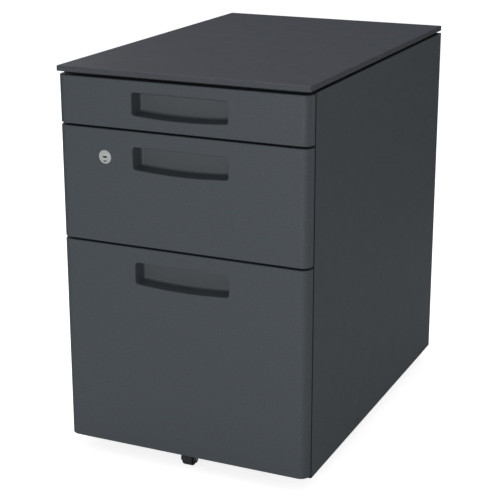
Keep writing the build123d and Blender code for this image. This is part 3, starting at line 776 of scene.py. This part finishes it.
def top_board():
    """The board's steel skin, with a pocket for its wooden core."""
    low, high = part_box("top_board")
    board = board_shape(low, high, corner=2.5 * MM, top_edge=1.3 * MM, bottom_edge=0.5 * MM)
    core_low, core_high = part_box("board_core")
    pocket = brick("core_pocket", (core_low.x, core_low.y, core_low.z - MM), core_high)
    combine(board, [pocket], "DIFFERENCE")
    return finish_piece(board, "top_board", degrees=50)


def board_core():
    """The wooden core, with painted shade on its underside, which shows in the gap under the
    board.
    """
    core = softened("board_core", 0.2 * MM)
    # Painted shade: the underside is coloured near black for the shade in the board's gap
    coat_faces(core, "painted_gap_shade", lambda face: face.normal.z < -0.5)


def board_spacers():
    """The frame of strips between the board and the casing, with its screw holes."""
    low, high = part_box("board_spacers")
    strip_width = 12 * MM
    hole_radius = 2.75 * MM
    margin = Vector((strip_width, strip_width, -MM))
    strips = brick("board_spacer_frame", low, high, bevel=0.2 * MM)
    cuts = [brick("spacer_window", low + margin, high - margin)]
    near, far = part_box("board_screws")
    profile = [(-MM, hole_radius), (high.z - low.z + MM, hole_radius)]
    for x in (near.x + SCREW_HEAD_RADIUS, far.x - SCREW_HEAD_RADIUS):
        for y in (near.y + SCREW_HEAD_RADIUS, far.y - SCREW_HEAD_RADIUS):
            cuts.append(turned("spacer_hole", profile, (x, y, low.z), (0, 0, 1), 24))
    combine(strips, cuts, "DIFFERENCE")
    return finish_piece(strips, "board_spacers")


def screw_shape(height):
    """A flat-head screw that points up, with a cross recess in its head."""
    radius = 2.5 * MM
    head = 3 * MM
    edge = 0.4 * MM
    profile = [
        (0, SCREW_HEAD_RADIUS - edge),
        (0.15 * edge, SCREW_HEAD_RADIUS - 0.4 * edge),
        (edge, SCREW_HEAD_RADIUS),
        (head, SCREW_HEAD_RADIUS),
        (head, radius),
        (height - radius * 0.4, radius),
        (height, radius * 0.6),
    ]
    screw = turned("screw_pattern_piece", profile, (0, 0, 0), (0, 0, 1), 32)
    arm = SCREW_HEAD_RADIUS * 0.5
    slot = 0.6 * MM
    deep = head * 0.55
    cross = [
        brick("cross_arm", (-arm, -slot, -MM), (arm, slot, deep)),
        brick("cross_arm", (-slot, -arm, -MM), (slot, arm, deep)),
    ]
    return combine(screw, cross, "DIFFERENCE")


def screw_tree():
    """A screw at each corner of a rectangle."""
    inputs = {"Spacing X": "Float", "Spacing Y": "Float", "Place": "Vector", "Screw": "Object"}
    tree, start = geometry_tree("Screw rectangle", inputs)
    sizes = {
        "Vertices X": 2,
        "Vertices Y": 2,
        "Size X": start.outputs["Spacing X"],
        "Size Y": start.outputs["Spacing Y"],
    }
    grid = add_node(tree, "GeometryNodeMeshGrid", sizes)
    screw = add_node(tree, "GeometryNodeObjectInfo", {"Object": start.outputs["Screw"]})
    copies = {"Points": grid.outputs["Mesh"], "Instance": screw.outputs["Geometry"]}
    scatter = add_node(tree, "GeometryNodeInstanceOnPoints", copies)
    shift = {"Geometry": scatter.outputs["Instances"], "Translation": start.outputs["Place"]}
    placed = add_node(tree, "GeometryNodeTransform", shift)
    close_tree(tree, placed.outputs["Geometry"], start)
    return tree


def board_screws():
    """The four screws that hold the board to the casing."""
    low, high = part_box("board_screws")
    middle = (low + high) / 2
    screw = screw_shape(high.z - low.z)
    values = {
        "Spacing X": high.x - low.x - 2 * SCREW_HEAD_RADIUS,
        "Spacing Y": high.y - low.y - 2 * SCREW_HEAD_RADIUS,
        "Place": (middle.x, middle.y, low.z),
        "Screw": screw,
        "Material": finish("zinc_steel"),
    }
    screws = run_tree("board_screw_set", screw_tree(), values)
    remove_piece(screw)
    return finish_piece(screws, "board_screws")


class PEDESTAL_OT_top_board(bpy.types.Operator):
    """Builds the thin board that floats over the casing, and its spacers and screws"""

    bl_idname = "pedestal.top_board"
    bl_label = "Top board"

    def execute(self, context):
        top_board()
        board_core()
        board_spacers()
        board_screws()
        return {"FINISHED"}


# Casing


def paint_stile_shade(panel):
    """Paints shade on a side panel's front edge, behind the fronts: its faces in the seam turn
    near black.
    """
    front = min(vert.co.y for vert in panel.data.vertices)
    stile_end = front + 3 * MM
    # Painted shade: the faces that look into the seam get the near-black gap shade
    coat_faces(
        panel, "painted_gap_shade", lambda face: face.center.y < stile_end and face.normal.y < -0.3
    )


class PEDESTAL_OT_casing(bpy.types.Operator):
    """Builds the folded side panels, the top, the back, the base pan and the uprights"""

    bl_idname = "pedestal.casing"
    bl_label = "Casing"

    def execute(self, context):
        for side in ("left", "right"):
            paint_stile_shade(softened(f"{side}_side_panel", 0.3 * MM))
        for node in ("top_panel", "back_panel", "base_pan"):
            softened(node, 0.3 * MM)
        softened("rear_uprights")
        softened("drawer_bumpers", 0.4 * MM)
        return {"FINISHED"}


# Drawer fronts


def front_plan(low, high, inset, corner, steps=14):
    """A front's plan: square at its back and round at its two outer corners."""
    half = high.x - inset
    radius = corner - inset
    middle = low.y + inset + radius
    left = arc(radius - half, middle, radius, 180, 90, steps)
    right = arc(half - radius, middle, radius, 270, 90, steps)
    return [(-half, high.y), *left, *right, (half, high.y)]


def front_skin(drawer, fronts, pulls):
    """The hollow pressed skin of a front with the turned-in mouth of its pull."""
    low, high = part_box(f"{drawer}_drawer_front")
    levels = start_edge(low.z, fronts.edge, 6) + end_edge(high.z, fronts.edge, 6)
    rings = []
    for inset, z in levels:
        rings.append([(x, y, z) for x, y in front_plan(low, high, inset, fronts.corner)])
    skin = stacked(f"{drawer}_front_skin", rings)
    past = Vector((high.x, high.y + MM, high.z))
    inside = front_plan(low, past, fronts.wall, fronts.corner)
    hollow = []
    for z in (low.z + fronts.wall, high.z - fronts.wall):
        hollow.append([(x, y, z) for x, y in inside])
    cutters = [stacked("front_hollow", hollow), mouth_plug(drawer, fronts, pulls)]
    if drawer == "middle":
        cutters.append(lock_hole(low.y))
    return combine(skin, cutters, "DIFFERENCE")


def pull_top(drawer, pulls):
    """The level of a mouth's straight upper edge."""
    cup_wall = 1.2 * MM
    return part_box(f"{drawer}_pull_cup")[1].z - pulls.pocket_height - cup_wall


def pull_ring(pulls, top, y, margin, steps=8, bow_steps=48):
    """The mouth's outline at a depth, drawn out by a margin: straight above, bowed below."""
    least_corner = 0.4 * MM
    half = pulls.width / 2 + margin
    high = top + margin
    upper = max(pulls.upper_corner + margin, least_corner)
    lower = max(pulls.lower_corner + margin, least_corner)
    bow_radius = ((pulls.width / 2) ** 2 + pulls.sag**2) / (2 * pulls.sag)
    bow_z = top - pulls.height - pulls.sag + bow_radius
    bow = bow_radius + margin
    across = half - lower
    corner_z = bow_z - math.sqrt((bow - lower) ** 2 - across**2)
    bow_half = math.degrees(math.asin(across / (bow - lower)))
    sweep = 90 - bow_half
    outline = arc(upper - half, high - upper, upper, 180, -90, steps)
    outline += arc(half - upper, high - upper, upper, 90, -90, steps)
    outline += arc(across, corner_z, lower, 0, -sweep, steps)
    outline += arc(0, bow_z, bow, -sweep, -2 * bow_half, bow_steps)[1:-1]
    outline += arc(-across, corner_z, lower, 180 + sweep, -sweep, steps)
    return [(x, y, z) for x, z in outline]


def mouth_plug(drawer, fronts, pulls):
    """The space that a pull's mouth takes out of the skin, flared to leave a round rim."""
    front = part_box(f"{drawer}_drawer_front")[0].y
    top = pull_top(drawer, pulls)
    rings = [pull_ring(pulls, top, front - MM, pulls.rim)]
    for margin, y in start_edge(front, pulls.rim, 6):
        rings.append(pull_ring(pulls, top, y, margin))
    rings.append(pull_ring(pulls, top, front + fronts.wall + MM, 0))
    return stacked("pull_mouth", rings)


class PEDESTAL_OT_drawer_fronts(bpy.types.Operator):
    """Builds the pressed fronts and the sheets that close their backs"""

    bl_idname = "pedestal.drawer_fronts"
    bl_label = "Drawer fronts"

    def execute(self, context):
        fronts = context.scene.pedestal_fronts
        pulls = context.scene.pedestal_pulls
        for drawer in DRAWERS:
            finish_piece(front_skin(drawer, fronts, pulls), f"{drawer}_drawer_front")
            # Painted shade: these sheets show through the gaps between drawers, so they get the
            # near-black gap shade
            softened(f"{drawer}_drawer_inner_panel", finish_name="painted_gap_shade")
        return {"FINISHED"}


# Finger pulls


def recess_rings(pulls, top, front, wall, start):
    """Rings down a recess: drafted walls, a round fillet and the back. A wall widens it."""
    fillet = pulls.back_fillet + wall
    turn = front + pulls.depth + wall - fillet
    slope = math.tan(pulls.draft)
    last = wall - (turn - front) * slope
    rings = [
        pull_ring(pulls, top, front + start, wall - start * slope),
        pull_ring(pulls, top, turn, last),
    ]
    for angle in quarter(8)[1:]:
        margin = last - fillet * (1 - math.cos(angle))
        rings.append(pull_ring(pulls, top, turn + fillet * math.sin(angle), margin))
    return rings


def pull_cup(pulls, wall):
    """One moulded cup with its flange and the pocket behind its upper edge."""
    low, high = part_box("upper_drawer_front")
    top = pull_top("upper", pulls)
    front = low.y
    flange_margin = 6 * MM
    round_edge = 1.5 * MM
    cup = stacked("pull_cup_shape", recess_rings(pulls, top, front, wall, wall))
    flange_rings = [
        pull_ring(pulls, top, front + depth, flange_margin) for depth in (wall, 2 * wall)
    ]
    half = pulls.pocket_width / 2
    back = high.y + 2.2 * MM
    under = top - pulls.height / 2
    over = top + pulls.pocket_height
    low_corner = (-half - wall, front + wall, under)
    high_corner = (half + wall, back, over + wall)
    outside = brick("pocket_outside", low_corner, high_corner, round_edge)
    combine(cup, [stacked("pull_flange", flange_rings), outside], "UNION")
    low_corner = (-half, front + 2 * wall, under)
    high_corner = (half, back - wall, over)
    inside = brick("pocket_inside", low_corner, high_corner, round_edge)
    hollow = stacked("recess", recess_rings(pulls, top, front, 0, wall - 0.1 * MM))
    return combine(cup, [hollow, inside], "DIFFERENCE")


class PEDESTAL_OT_finger_pulls(bpy.types.Operator):
    """Builds the moulded finger pulls behind the fronts' mouths"""

    bl_idname = "pedestal.finger_pulls"
    bl_label = "Finger pulls"

    def execute(self, context):
        pulls = context.scene.pedestal_pulls
        pattern = pull_cup(pulls, context.scene.pedestal_fronts.wall)
        first = pull_top("upper", pulls)
        for drawer in DRAWERS:
            drop = pull_top(drawer, pulls) - first
            cup = copy_of(pattern, f"{drawer}_finger_pull", (0, 0, drop))
            finish_piece(cup, f"{drawer}_pull_cup", "pull_plastic")
        remove_piece(pattern)
        return {"FINISHED"}


# Lock


def lock_axis():
    """The middle of the plug, on the axis that it turns about."""
    low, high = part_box("lock_plug")
    return (low + high) / 2


def lock_front(node):
    """The point of the lock's axis at a node's front."""
    centre = lock_axis()
    return Vector((centre.x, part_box(node)[0].y, centre.z))


def soft_rim(radius, edge):
    """A turned profile's points round its front edge."""
    share = 0.3
    return [(0, radius - edge), (share * edge, radius - share * edge), (edge, radius)]


def lock_hole(front):
    """The round hole in the middle front in which the lock's head sits."""
    centre = lock_axis()
    radius = 10.3 * MM
    rim = 0.4 * MM
    profile = [
        (-MM, radius + rim),
        (0, radius + rim),
        (0.4 * rim, radius + 0.3 * rim),
        (rim, radius),
        (3 * MM, radius),
    ]
    return turned("lock_hole", profile, (centre.x, front, centre.z), (0, 1, 0), 96)


def index_mark(start):
    """A short curved groove across the joint between the plug and the barrel."""
    radius = 6.1 * MM
    half_width = 0.95 * MM
    deep = 0.7 * MM
    half_angle = 34
    steps = 14
    blunt = 0.35
    rings = []
    for i in range(steps + 1):
        angle = math.radians(270 - half_angle + 2 * half_angle * i / steps)
        narrow = math.sin(math.pi * (i + blunt) / (steps + 2 * blunt))
        ring = []
        for y, side in ((-deep, -1), (-deep, 1), (deep, 1), (deep, -1)):
            reach = radius + side * half_width * narrow
            x = start.x + reach * math.cos(angle)
            z = start.z + reach * math.sin(angle)
            ring.append((x, start.y + y, z))
        rings.append(ring)
    return stacked("lock_mark", rings)


def blacken(piece, start, bottom, top, deep):
    """Painted shade on the faces behind a front, in a window round the lock's axis."""
    half = 3.1 * MM
    low = start + Vector((-half, 0.1 * MM, bottom))
    high = start + Vector((half, deep, top))
    coat_faces(
        piece,
        "lock_shade",
        lambda face: all(low[i] < face.center[i] < high[i] for i in range(3)),
    )


def blacken_mark(piece, start):
    """Painted shade in the index mark."""
    blacken(piece, start, bottom=-7.2 * MM, top=-4.6 * MM, deep=0.8 * MM)


def lock_barrel():
    """The barrel: its round head, the collar behind the front and the threaded shank."""
    start = lock_front("lock_barrel")
    bore = 6.05 * MM
    head_radius = 9.3 * MM
    head = 1.0 * MM
    collar_radius = 12 * MM
    collar = 2.5 * MM
    shank_radius = 8 * MM
    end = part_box("lock_barrel")[1].y - start.y
    edge = 0.45 * MM
    profile = [
        (edge, bore),
        (0, bore + edge),
        *soft_rim(head_radius, edge),
        (head, head_radius),
        (head, collar_radius),
        (collar, collar_radius),
        (collar, shank_radius),
        (end, shank_radius),
        (end, bore),
    ]
    barrel = tube("lock_barrel_body", profile, start, (0, 1, 0))
    combine(barrel, [index_mark(start)], "DIFFERENCE")
    finish_piece(barrel, "lock_barrel")
    blacken_mark(barrel, start)


def lock_plug():
    """The plug with its flared keyway."""
    start = lock_front("lock_plug")
    radius = 6.0 * MM
    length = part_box("lock_plug")[1].y - start.y
    profile = [*soft_rim(radius, 0.35 * MM), (length, radius)]
    plug = turned("lock_plug_body", profile, start, (0, 1, 0), 96)
    deep = 14 * MM
    keyway = (3.0 * MM, 1.1 * MM, deep)
    flare = (3.4 * MM, 1.4 * MM, 0.35 * MM)
    cuts = [index_mark(start)]
    for x, z, depth in (keyway, flare):
        near = start - Vector((x, MM, z))
        cuts.append(brick("keyway", near, start + Vector((x, depth, z)), 0.3 * MM))
    combine(plug, cuts, "DIFFERENCE")
    finish_piece(plug, "lock_plug")
    blacken(plug, start, bottom=-1.2 * MM, top=1.2 * MM, deep=2 * deep)
    blacken_mark(plug, start)


class PEDESTAL_OT_lock(bpy.types.Operator):
    """Builds the cam lock, its bar, its guides and the drawers' catches"""

    bl_idname = "pedestal.lock"
    bl_label = "Lock"

    def execute(self, context):
        lock_barrel()
        lock_plug()
        softened("lock_nut", 0.3 * MM)
        softened("lock_cam", 0.2 * MM)
        softened("lock_bar", 0.25 * MM)
        softened("lock_bar_guides", 0.3 * MM)
        for drawer in DRAWERS:
            softened(f"{drawer}_lock_catch", 0.3 * MM)
        return {"FINISHED"}


# Drawer boxes and fittings


class PEDESTAL_OT_drawer_boxes(bpy.types.Operator):
    """Builds the folded drawer boxes, the tray, the divider and the filing fittings"""

    bl_idname = "pedestal.drawer_boxes"
    bl_label = "Drawer boxes"

    def execute(self, context):
        for drawer in DRAWERS:
            softened(f"{drawer}_drawer_box")
        softened("pen_tray", 0.8 * MM)
        for node in ("middle_drawer_divider", "file_follower_plate", "hanging_file_rails"):
            softened(node)
        return {"FINISHED"}


# Slides


def ball_row_tree():
    """A row of balls in a line, from its first ball's place."""
    inputs = {"Count": "Int", "Pitch": "Vector", "First ball": "Vector", "Radius": "Float"}
    tree, start = geometry_tree("Ball row", inputs)
    row = {
        "Count": start.outputs["Count"],
        "Start Location": start.outputs["First ball"],
        "Offset": start.outputs["Pitch"],
    }
    line = add_node(tree, "GeometryNodeMeshLine", row, mode="OFFSET")
    sphere = {"Radius": start.outputs["Radius"], "Subdivisions": 2}
    ball = add_node(tree, "GeometryNodeMeshIcoSphere", sphere)
    copies = {"Points": line.outputs["Mesh"], "Instance": ball.outputs["Mesh"]}
    scatter = add_node(tree, "GeometryNodeInstanceOnPoints", copies)
    close_tree(tree, scatter.outputs["Instances"], start)
    return tree


def linked_verts(first):
    """A vertex and all that edges join to it."""
    group = [first]
    seen = {first}
    for vert in group:
        for edge in vert.link_edges:
            other = edge.other_vert(vert)
            if other not in seen:
                seen.add(other)
                group.append(other)
    return group


def strips_of(node):
    """The low and high corner of each loose strip in a cage node."""
    bm = merged_node(node)
    seen = set()
    boxes = []
    for first in bm.verts:
        if first in seen:
            continue
        group = linked_verts(first)
        seen.update(group)
        low = Vector([min(vert.co[i] for vert in group) for i in range(3)])
        high = Vector([max(vert.co[i] for vert in group) for i in range(3)])
        boxes.append((low, high))
    bm.free()
    return boxes


def ball_cages(node, tree, count):
    """A cage's strips, each with a full row of balls, in one mesh."""
    half_sheet = 0.4 * MM
    parts = []
    for low, high in strips_of(node):
        middle = (low + high) / 2
        bottom = (low.x, low.y, middle.z - half_sheet)
        top = (high.x, high.y, middle.z + half_sheet)
        pitch = (high.y - low.y) / count
        values = {
            "Count": count,
            "Pitch": (0, pitch, 0),
            "First ball": (middle.x, low.y + pitch / 2, middle.z),
            "Radius": 2.1 * MM,
            "Material": finish("zinc_steel"),
        }
        parts.append(brick(f"{node}_shape", bottom, top, bevel=0.2 * MM, segments=1))
        parts.append(run_tree("ball_row", tree, values))
    return finish_piece(joined(parts), node)


class PEDESTAL_OT_slides(bpy.types.Operator):
    """Builds the ball slides of the three drawers, with their cages"""

    bl_idname = "pedestal.slides"
    bl_label = "Slides"

    def execute(self, context):
        for drawer in DRAWERS:
            softened(f"{drawer}_slide_channels", 0.3 * MM)
            softened(f"{drawer}_slide_rails", 0.3 * MM)
        softened("lower_slide_middles", 0.3 * MM)
        tree = ball_row_tree()
        count = context.scene.pedestal_wheels.balls
        for place in ("upper", "middle", "lower_outer", "lower_inner"):
            ball_cages(f"{place}_ball_cages", tree, count)
        return {"FINISHED"}


# Casters and the anti-tip roller

WHEEL_WIDTH = 13 * MM


def wheel_profile(radius, bore):
    """A caster wheel's profile: round tread, a dished outer face and a raised hub."""
    return [
        (0, bore),
        *round_rim(radius, WHEEL_WIDTH, near=1.6 * MM, far=2.2 * MM, far_steps=5),
        (WHEEL_WIDTH, radius - 3.4 * MM),
        (WHEEL_WIDTH - 1.6 * MM, radius - 4.4 * MM),
        (WHEEL_WIDTH - 2.2 * MM, bore + 4.2 * MM),
        (WHEEL_WIDTH - 0.4 * MM, bore + 3.4 * MM),
        (WHEEL_WIDTH, bore + 2.9 * MM),
        (WHEEL_WIDTH, bore),
    ]


def rib_tree():
    """Raised ribs round a wheel's outer face."""
    inputs = {"Count": "Int", "Radius": "Float", "Size": "Vector", "Centre": "Vector"}
    tree, start = geometry_tree("Wheel ribs", inputs)
    ring = {"Vertices": start.outputs["Count"], "Radius": start.outputs["Radius"]}
    circle = add_node(tree, "GeometryNodeMeshCircle", ring)
    rib = add_node(tree, "GeometryNodeMeshCube", {"Size": start.outputs["Size"]})
    place = tree.nodes.new("GeometryNodeInputPosition")
    outward = {"Vector": place.outputs["Position"]}
    align = add_node(
        tree, "FunctionNodeAlignRotationToVector", outward, axis="X", pivot_axis="Z"
    )
    copies = {
        "Points": circle.outputs["Mesh"],
        "Instance": rib.outputs["Mesh"],
        "Rotation": align.outputs["Rotation"],
    }
    scatter = add_node(tree, "GeometryNodeInstanceOnPoints", copies)
    upright = {
        "Geometry": scatter.outputs["Instances"],
        "Rotation": (0, math.pi / 2, 0),
        "Translation": start.outputs["Centre"],
    }
    turn = add_node(tree, "GeometryNodeTransform", upright)
    close_tree(tree, turn.outputs["Geometry"], start)
    return tree


def caster_wheels(name, tree, ribs):
    """A caster's two wheels in one mesh."""
    node = f"{name}_caster_wheels"
    low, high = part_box(node)
    middle = (low + high) / 2
    radius = (high.z - low.z) / 2
    profile = wheel_profile(radius, bore=3.1 * MM)
    parts = []
    for side in (-1, 1):
        inner = middle.x + side * ((high.x - low.x) / 2 - WHEEL_WIDTH)
        start = (inner, middle.y, middle.z)
        values = {
            "Count": ribs,
            "Radius": radius * 0.56,
            "Size": (radius * 0.42, 1.8 * MM, 1.4 * MM),
            "Centre": (inner + side * (WHEEL_WIDTH - 1.5 * MM), middle.y, middle.z),
            "Material": finish("soft_black"),
        }
        parts.append(tube(f"{name}_wheel_pair", profile, start, (side, 0, 0), 72))
        parts.append(run_tree("wheel_ribs", tree, values))
    return finish_piece(joined(parts), node)


def hood_drum(name, start, length, radius):
    """A caster's hood while it is still a solid drum with round edges."""
    edge = 1.2 * MM
    profile = round_rim(radius, length, near=edge, far=edge)
    return turned(f"{name}_hood", profile, start, (1, 0, 0), 96)


def hood_boss(stem, rise):
    """The round boss on the hood that holds the stem."""
    radius = 9 * MM
    edge = 0.8 * MM
    profile = [(0, radius), (rise - edge, radius), (rise, radius - edge)]
    return turned("boss", profile, stem, (0, 0, 1), 48)


def hood_hollows(axle, well, half_length):
    """What is cut from the drum: its lower half, and a well for each wheel."""
    reach = 3 * well
    corner = Vector((reach, reach, reach))
    hollows = [brick("under", axle - corner, (axle.x + reach, axle.y + reach, axle.z))]
    half_web = 3 * MM
    profile = [(0, well), (half_length, well)]
    for side in (-1, 1):
        start = (axle.x + side * half_web, axle.y, axle.z)
        hollows.append(turned("well", profile, start, (side, 0, 0), 96))
    return hollows


def hood_web(axle):
    """The round web between the wheels."""
    radius = 14 * MM
    half = 3 * MM
    profile = [(0, radius), (2 * half, radius)]
    return turned("web", profile, (axle.x - half, axle.y, axle.z), (1, 0, 0), 48)


def hood_axle(start, length):
    """The axle through both wheels, with its ends eased."""
    radius = 3 * MM
    edge = 0.4 * MM
    profile = [
        (0, radius - edge),
        (edge, radius),
        (length - edge, radius),
        (length, radius - edge),
    ]
    return turned("axle", profile, start, (1, 0, 0), 32)


def stem_bore(stem):
    """The bore in the boss, from just under the stem."""
    radius = 4.05 * MM
    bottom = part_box("caster_stems")[0].z - 0.4 * MM
    profile = [(0, radius), (20 * MM, radius)]
    return turned("bore", profile, (stem.x, stem.y, bottom), (0, 0, 1), 48)


def caster_hood(name):
    """The swivelling hood over both wheels, with its boss, web and axle."""
    node = f"{name}_caster_fork"
    low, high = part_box(node)
    wheels_low, wheels_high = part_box(f"{name}_caster_wheels")
    axle = (wheels_low + wheels_high) / 2
    clearance = 1.2 * MM
    wall = 2.0 * MM
    trail = 15 * MM
    well = (wheels_high.z - wheels_low.z) / 2 + clearance
    length = high.x - low.x
    half = length / 2
    start = (axle.x - half, axle.y, axle.z)
    stem = Vector((axle.x, axle.y - trail, axle.z))
    hood = hood_drum(name, start, length, well + wall)
    combine(hood, [hood_boss(stem, high.z - axle.z)], "UNION")
    combine(hood, hood_hollows(axle, well, half), "DIFFERENCE")
    combine(hood, [hood_web(axle), hood_axle(start, length)], "UNION")
    combine(hood, [stem_bore(stem)], "DIFFERENCE")
    return finish_piece(hood, node)


def roller_wheel():
    """The roller's wheel, with a round tread."""
    low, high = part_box("anti_tip_wheel")
    middle = (low + high) / 2
    width = high.x - low.x
    edge = 1.6 * MM
    bore = 2.6 * MM
    rim = round_rim((high.z - low.z) / 2, width, edge, edge, near_steps=5, far_steps=5)
    profile = [(0, bore), *rim, (width, bore)]
    wheel = tube("anti_tip_wheel_tread", profile, (low.x, middle.y, middle.z), (1, 0, 0), 96)
    return finish_piece(wheel, "anti_tip_wheel")


class PEDESTAL_OT_casters(bpy.types.Operator):
    """Builds the four twin-wheel casters with their stems and nuts"""

    bl_idname = "pedestal.casters"
    bl_label = "Casters"

    def execute(self, context):
        tree = rib_tree()
        for name in CASTERS:
            caster_hood(name)
            caster_wheels(name, tree, context.scene.pedestal_wheels.spokes)
        softened("caster_stems", 0.3 * MM)
        softened("caster_weld_nuts", 0.4 * MM)
        return {"FINISHED"}


class PEDESTAL_OT_anti_tip_roller(bpy.types.Operator):
    """Builds the small roller under the lower front that keeps the cabinet from tipping"""

    bl_idname = "pedestal.anti_tip_roller"
    bl_label = "Anti-tip roller"

    def execute(self, context):
        roller_wheel()
        softened("anti_tip_housing", 0.6 * MM)
        softened("anti_tip_axle", 0.2 * MM)
        return {"FINISHED"}


# Floor, lights and camera

WHITE = (1, 1, 1, 1)
BLACK = (0, 0, 0, 1)


def soft_lamp(name, place, target, size, power):
    """A broad lamp, in watts, that faces a point and isn't seen itself."""
    light = bpy.data.lights.new(name, "AREA")
    light.shape = "RECTANGLE"
    light.size, light.size_y = size
    light.energy = power
    lamp = bpy.data.objects.new(name, light)
    bpy.context.scene.collection.objects.link(lamp)
    lamp.visible_camera = False
    lamp.location = place
    lamp.rotation_euler = (Vector(target) - Vector(place)).to_track_quat("-Z", "Y").to_euler()


def soft_lamps():
    """The four lamps that light the cabinet."""
    middle = (0, 0, 0.3)
    soft_lamp("Key", place=(0.2, -3.3, 0.5), target=middle, size=(2.8, 1.4), power=47)
    soft_lamp("Side", place=(2.2, 1.4, 0.5), target=middle, size=(0.8, 1.2), power=8.5)
    soft_lamp("Fill", place=(-2.2, 1.6, 0.9), target=middle, size=(1.2, 1.2), power=10)
    soft_lamp("Top", place=(-0.4, 0.3, 2.9), target=(0, 0, 0.5), size=(1.2, 1.2), power=37)


def glow_for_gloss(tree, where, glossy):
    """A calm bright patch round the cabinet that only gloss sees and that fades outwards."""
    distance = add_node(tree, "ShaderNodeVectorMath", {0: where}, operation="LENGTH")
    fade = {
        "Value": distance.outputs["Value"],
        "From Min": 0.9,
        "From Max": 1.8,
        "To Min": 0.18,
        "To Max": 0.0,
    }
    patch = add_node(tree, "ShaderNodeMapRange", fade, interpolation_type="SMOOTHSTEP")
    product = {0: patch.outputs["Result"], 1: glossy}
    return add_node(tree, "ShaderNodeMath", product, operation="MULTIPLY").outputs["Value"]


def floor_material(colour):
    """Pale matt floor that the camera sees near white. Gloss sees only a patch of glow."""
    material, tree, where = blank_material("Plain floor")
    rays = tree.nodes.new("ShaderNodeLightPath").outputs
    glossy = rays["Is Glossy Ray"]
    clouds = noise(tree, where, scale=1.5, detail=2)
    pale = two_tones(tree, clouds, colour, change=0.01)
    tones = {"Factor": glossy, "A": pale, "B": BLACK}
    seen = add_node(tree, "ShaderNodeMix", tones, data_type="RGBA")
    camera_lift = 0.8
    sum_of_light = {
        0: rays["Is Camera Ray"],
        1: camera_lift,
        2: glow_for_gloss(tree, where, glossy),
    }
    light = add_node(tree, "ShaderNodeMath", sum_of_light, operation="MULTIPLY_ADD")
    material.cycles.emission_sampling = "NONE"
    surface = {
        "Base Color": seen.outputs["Result"],
        "Roughness": 0.85,
        "Specular IOR Level": 0.2,
        "Emission Color": WHITE,
        "Emission Strength": light.outputs["Value"],
    }
    return set_surface(material, surface)


def plain_floor(colour):
    """The floor under the cabinet."""
    bm = bmesh.new()
    bmesh.ops.create_grid(bm, x_segments=8, y_segments=8, size=9)
    floor = mesh_object("plain_floor", bm)
    if floor.data.polygons[0].normal.z < 0:
        floor.data.flip_normals()
    floor.data.materials.append(floor_material(colour))


def plain_world():
    """Even soft light, which the camera sees as white and gloss doesn't see."""
    room_light = 0.3
    camera_white = 1.1
    world = bpy.data.worlds.new("Soft room")
    world.use_nodes = True
    tree = world.node_tree
    rays = tree.nodes.new("ShaderNodeLightPath").outputs
    dimmed = spread(tree, rays["Is Glossy Ray"], low=room_light, high=0.0, start=0, end=1)
    level = spread(tree, rays["Is Camera Ray"], low=dimmed, high=camera_white, start=0, end=1)
    set_inputs(tree, tree.nodes["Background"], {"Color": WHITE, "Strength": level})
    world.cycles.sampling_method = "NONE"
    bpy.context.scene.world = world


def studio_camera(lens):
    """The camera, to the right of the front and a little above the cabinet."""
    tilt_down = 16.649
    turn_left = 24.226
    camera = bpy.data.objects.new("Camera", bpy.data.cameras.new("Camera"))
    bpy.context.scene.collection.objects.link(camera)
    camera.data.lens = lens
    camera.data.sensor_width = 36
    camera.data.shift_y = -0.05
    camera.location = (0.86155, -1.973, 0.94633)
    camera.rotation_euler = (math.radians(90 - tilt_down), 0, math.radians(turn_left))
    bpy.context.scene.camera = camera


class PEDESTAL_OT_stage(bpy.types.Operator):
    """Builds the plain floor, the soft lights and the camera"""

    bl_idname = "pedestal.stage"
    bl_label = "Stage"

    def execute(self, context):
        settings = context.scene.pedestal_stage
        plain_floor(settings.floor_colour)
        plain_world()
        soft_lamps()
        studio_camera(settings.lens)
        context.scene.view_settings.view_transform = "Standard"
        return {"FINISHED"}


# The add-on

SETTINGS = {
    "pedestal_paint": PaintSettings,
    "pedestal_fronts": FrontSettings,
    "pedestal_pulls": PullSettings,
    "pedestal_wheels": WheelSettings,
    "pedestal_stage": StageSettings,
}
OPERATORS = (
    PEDESTAL_OT_top_board,
    PEDESTAL_OT_casing,
    PEDESTAL_OT_drawer_fronts,
    PEDESTAL_OT_finger_pulls,
    PEDESTAL_OT_lock,
    PEDESTAL_OT_drawer_boxes,
    PEDESTAL_OT_slides,
    PEDESTAL_OT_casters,
    PEDESTAL_OT_anti_tip_roller,
    PEDESTAL_OT_stage,
)


class PEDESTAL_PT_pieces(bpy.types.Panel):
    """Lists the pieces of the cabinet"""

    bl_idname = "PEDESTAL_PT_pieces"
    bl_label = "Rolling pedestal"
    bl_space_type = "VIEW_3D"
    bl_region_type = "UI"
    bl_category = "Pedestal"

    def draw(self, context):
        column = self.layout.column(align=True)
        for operator in OPERATORS:
            column.operator(operator.bl_idname)


def register():
    """Registers the settings, the operators and the panel."""
    for settings in SETTINGS.values():
        bpy.utils.register_class(settings)
    for operator in OPERATORS:
        bpy.utils.register_class(operator)
    bpy.utils.register_class(PEDESTAL_PT_pieces)
    for name, settings in SETTINGS.items():
        setattr(bpy.types.Scene, name, PointerProperty(type=settings))


def unregister():
    """Takes back what register did."""
    for name in SETTINGS:
        delattr(bpy.types.Scene, name)
    bpy.utils.unregister_class(PEDESTAL_PT_pieces)
    for operator in reversed(OPERATORS):
        bpy.utils.unregister_class(operator)
    for settings in reversed(SETTINGS.values()):
        bpy.utils.unregister_class(settings)


def main():
    """Builds every piece and the stage, in order."""
    register()
    for operator in OPERATORS:
        group, name = operator.bl_idname.split(".")
        getattr(getattr(bpy.ops, group), name)()


if __name__ == "__main__":
    main()
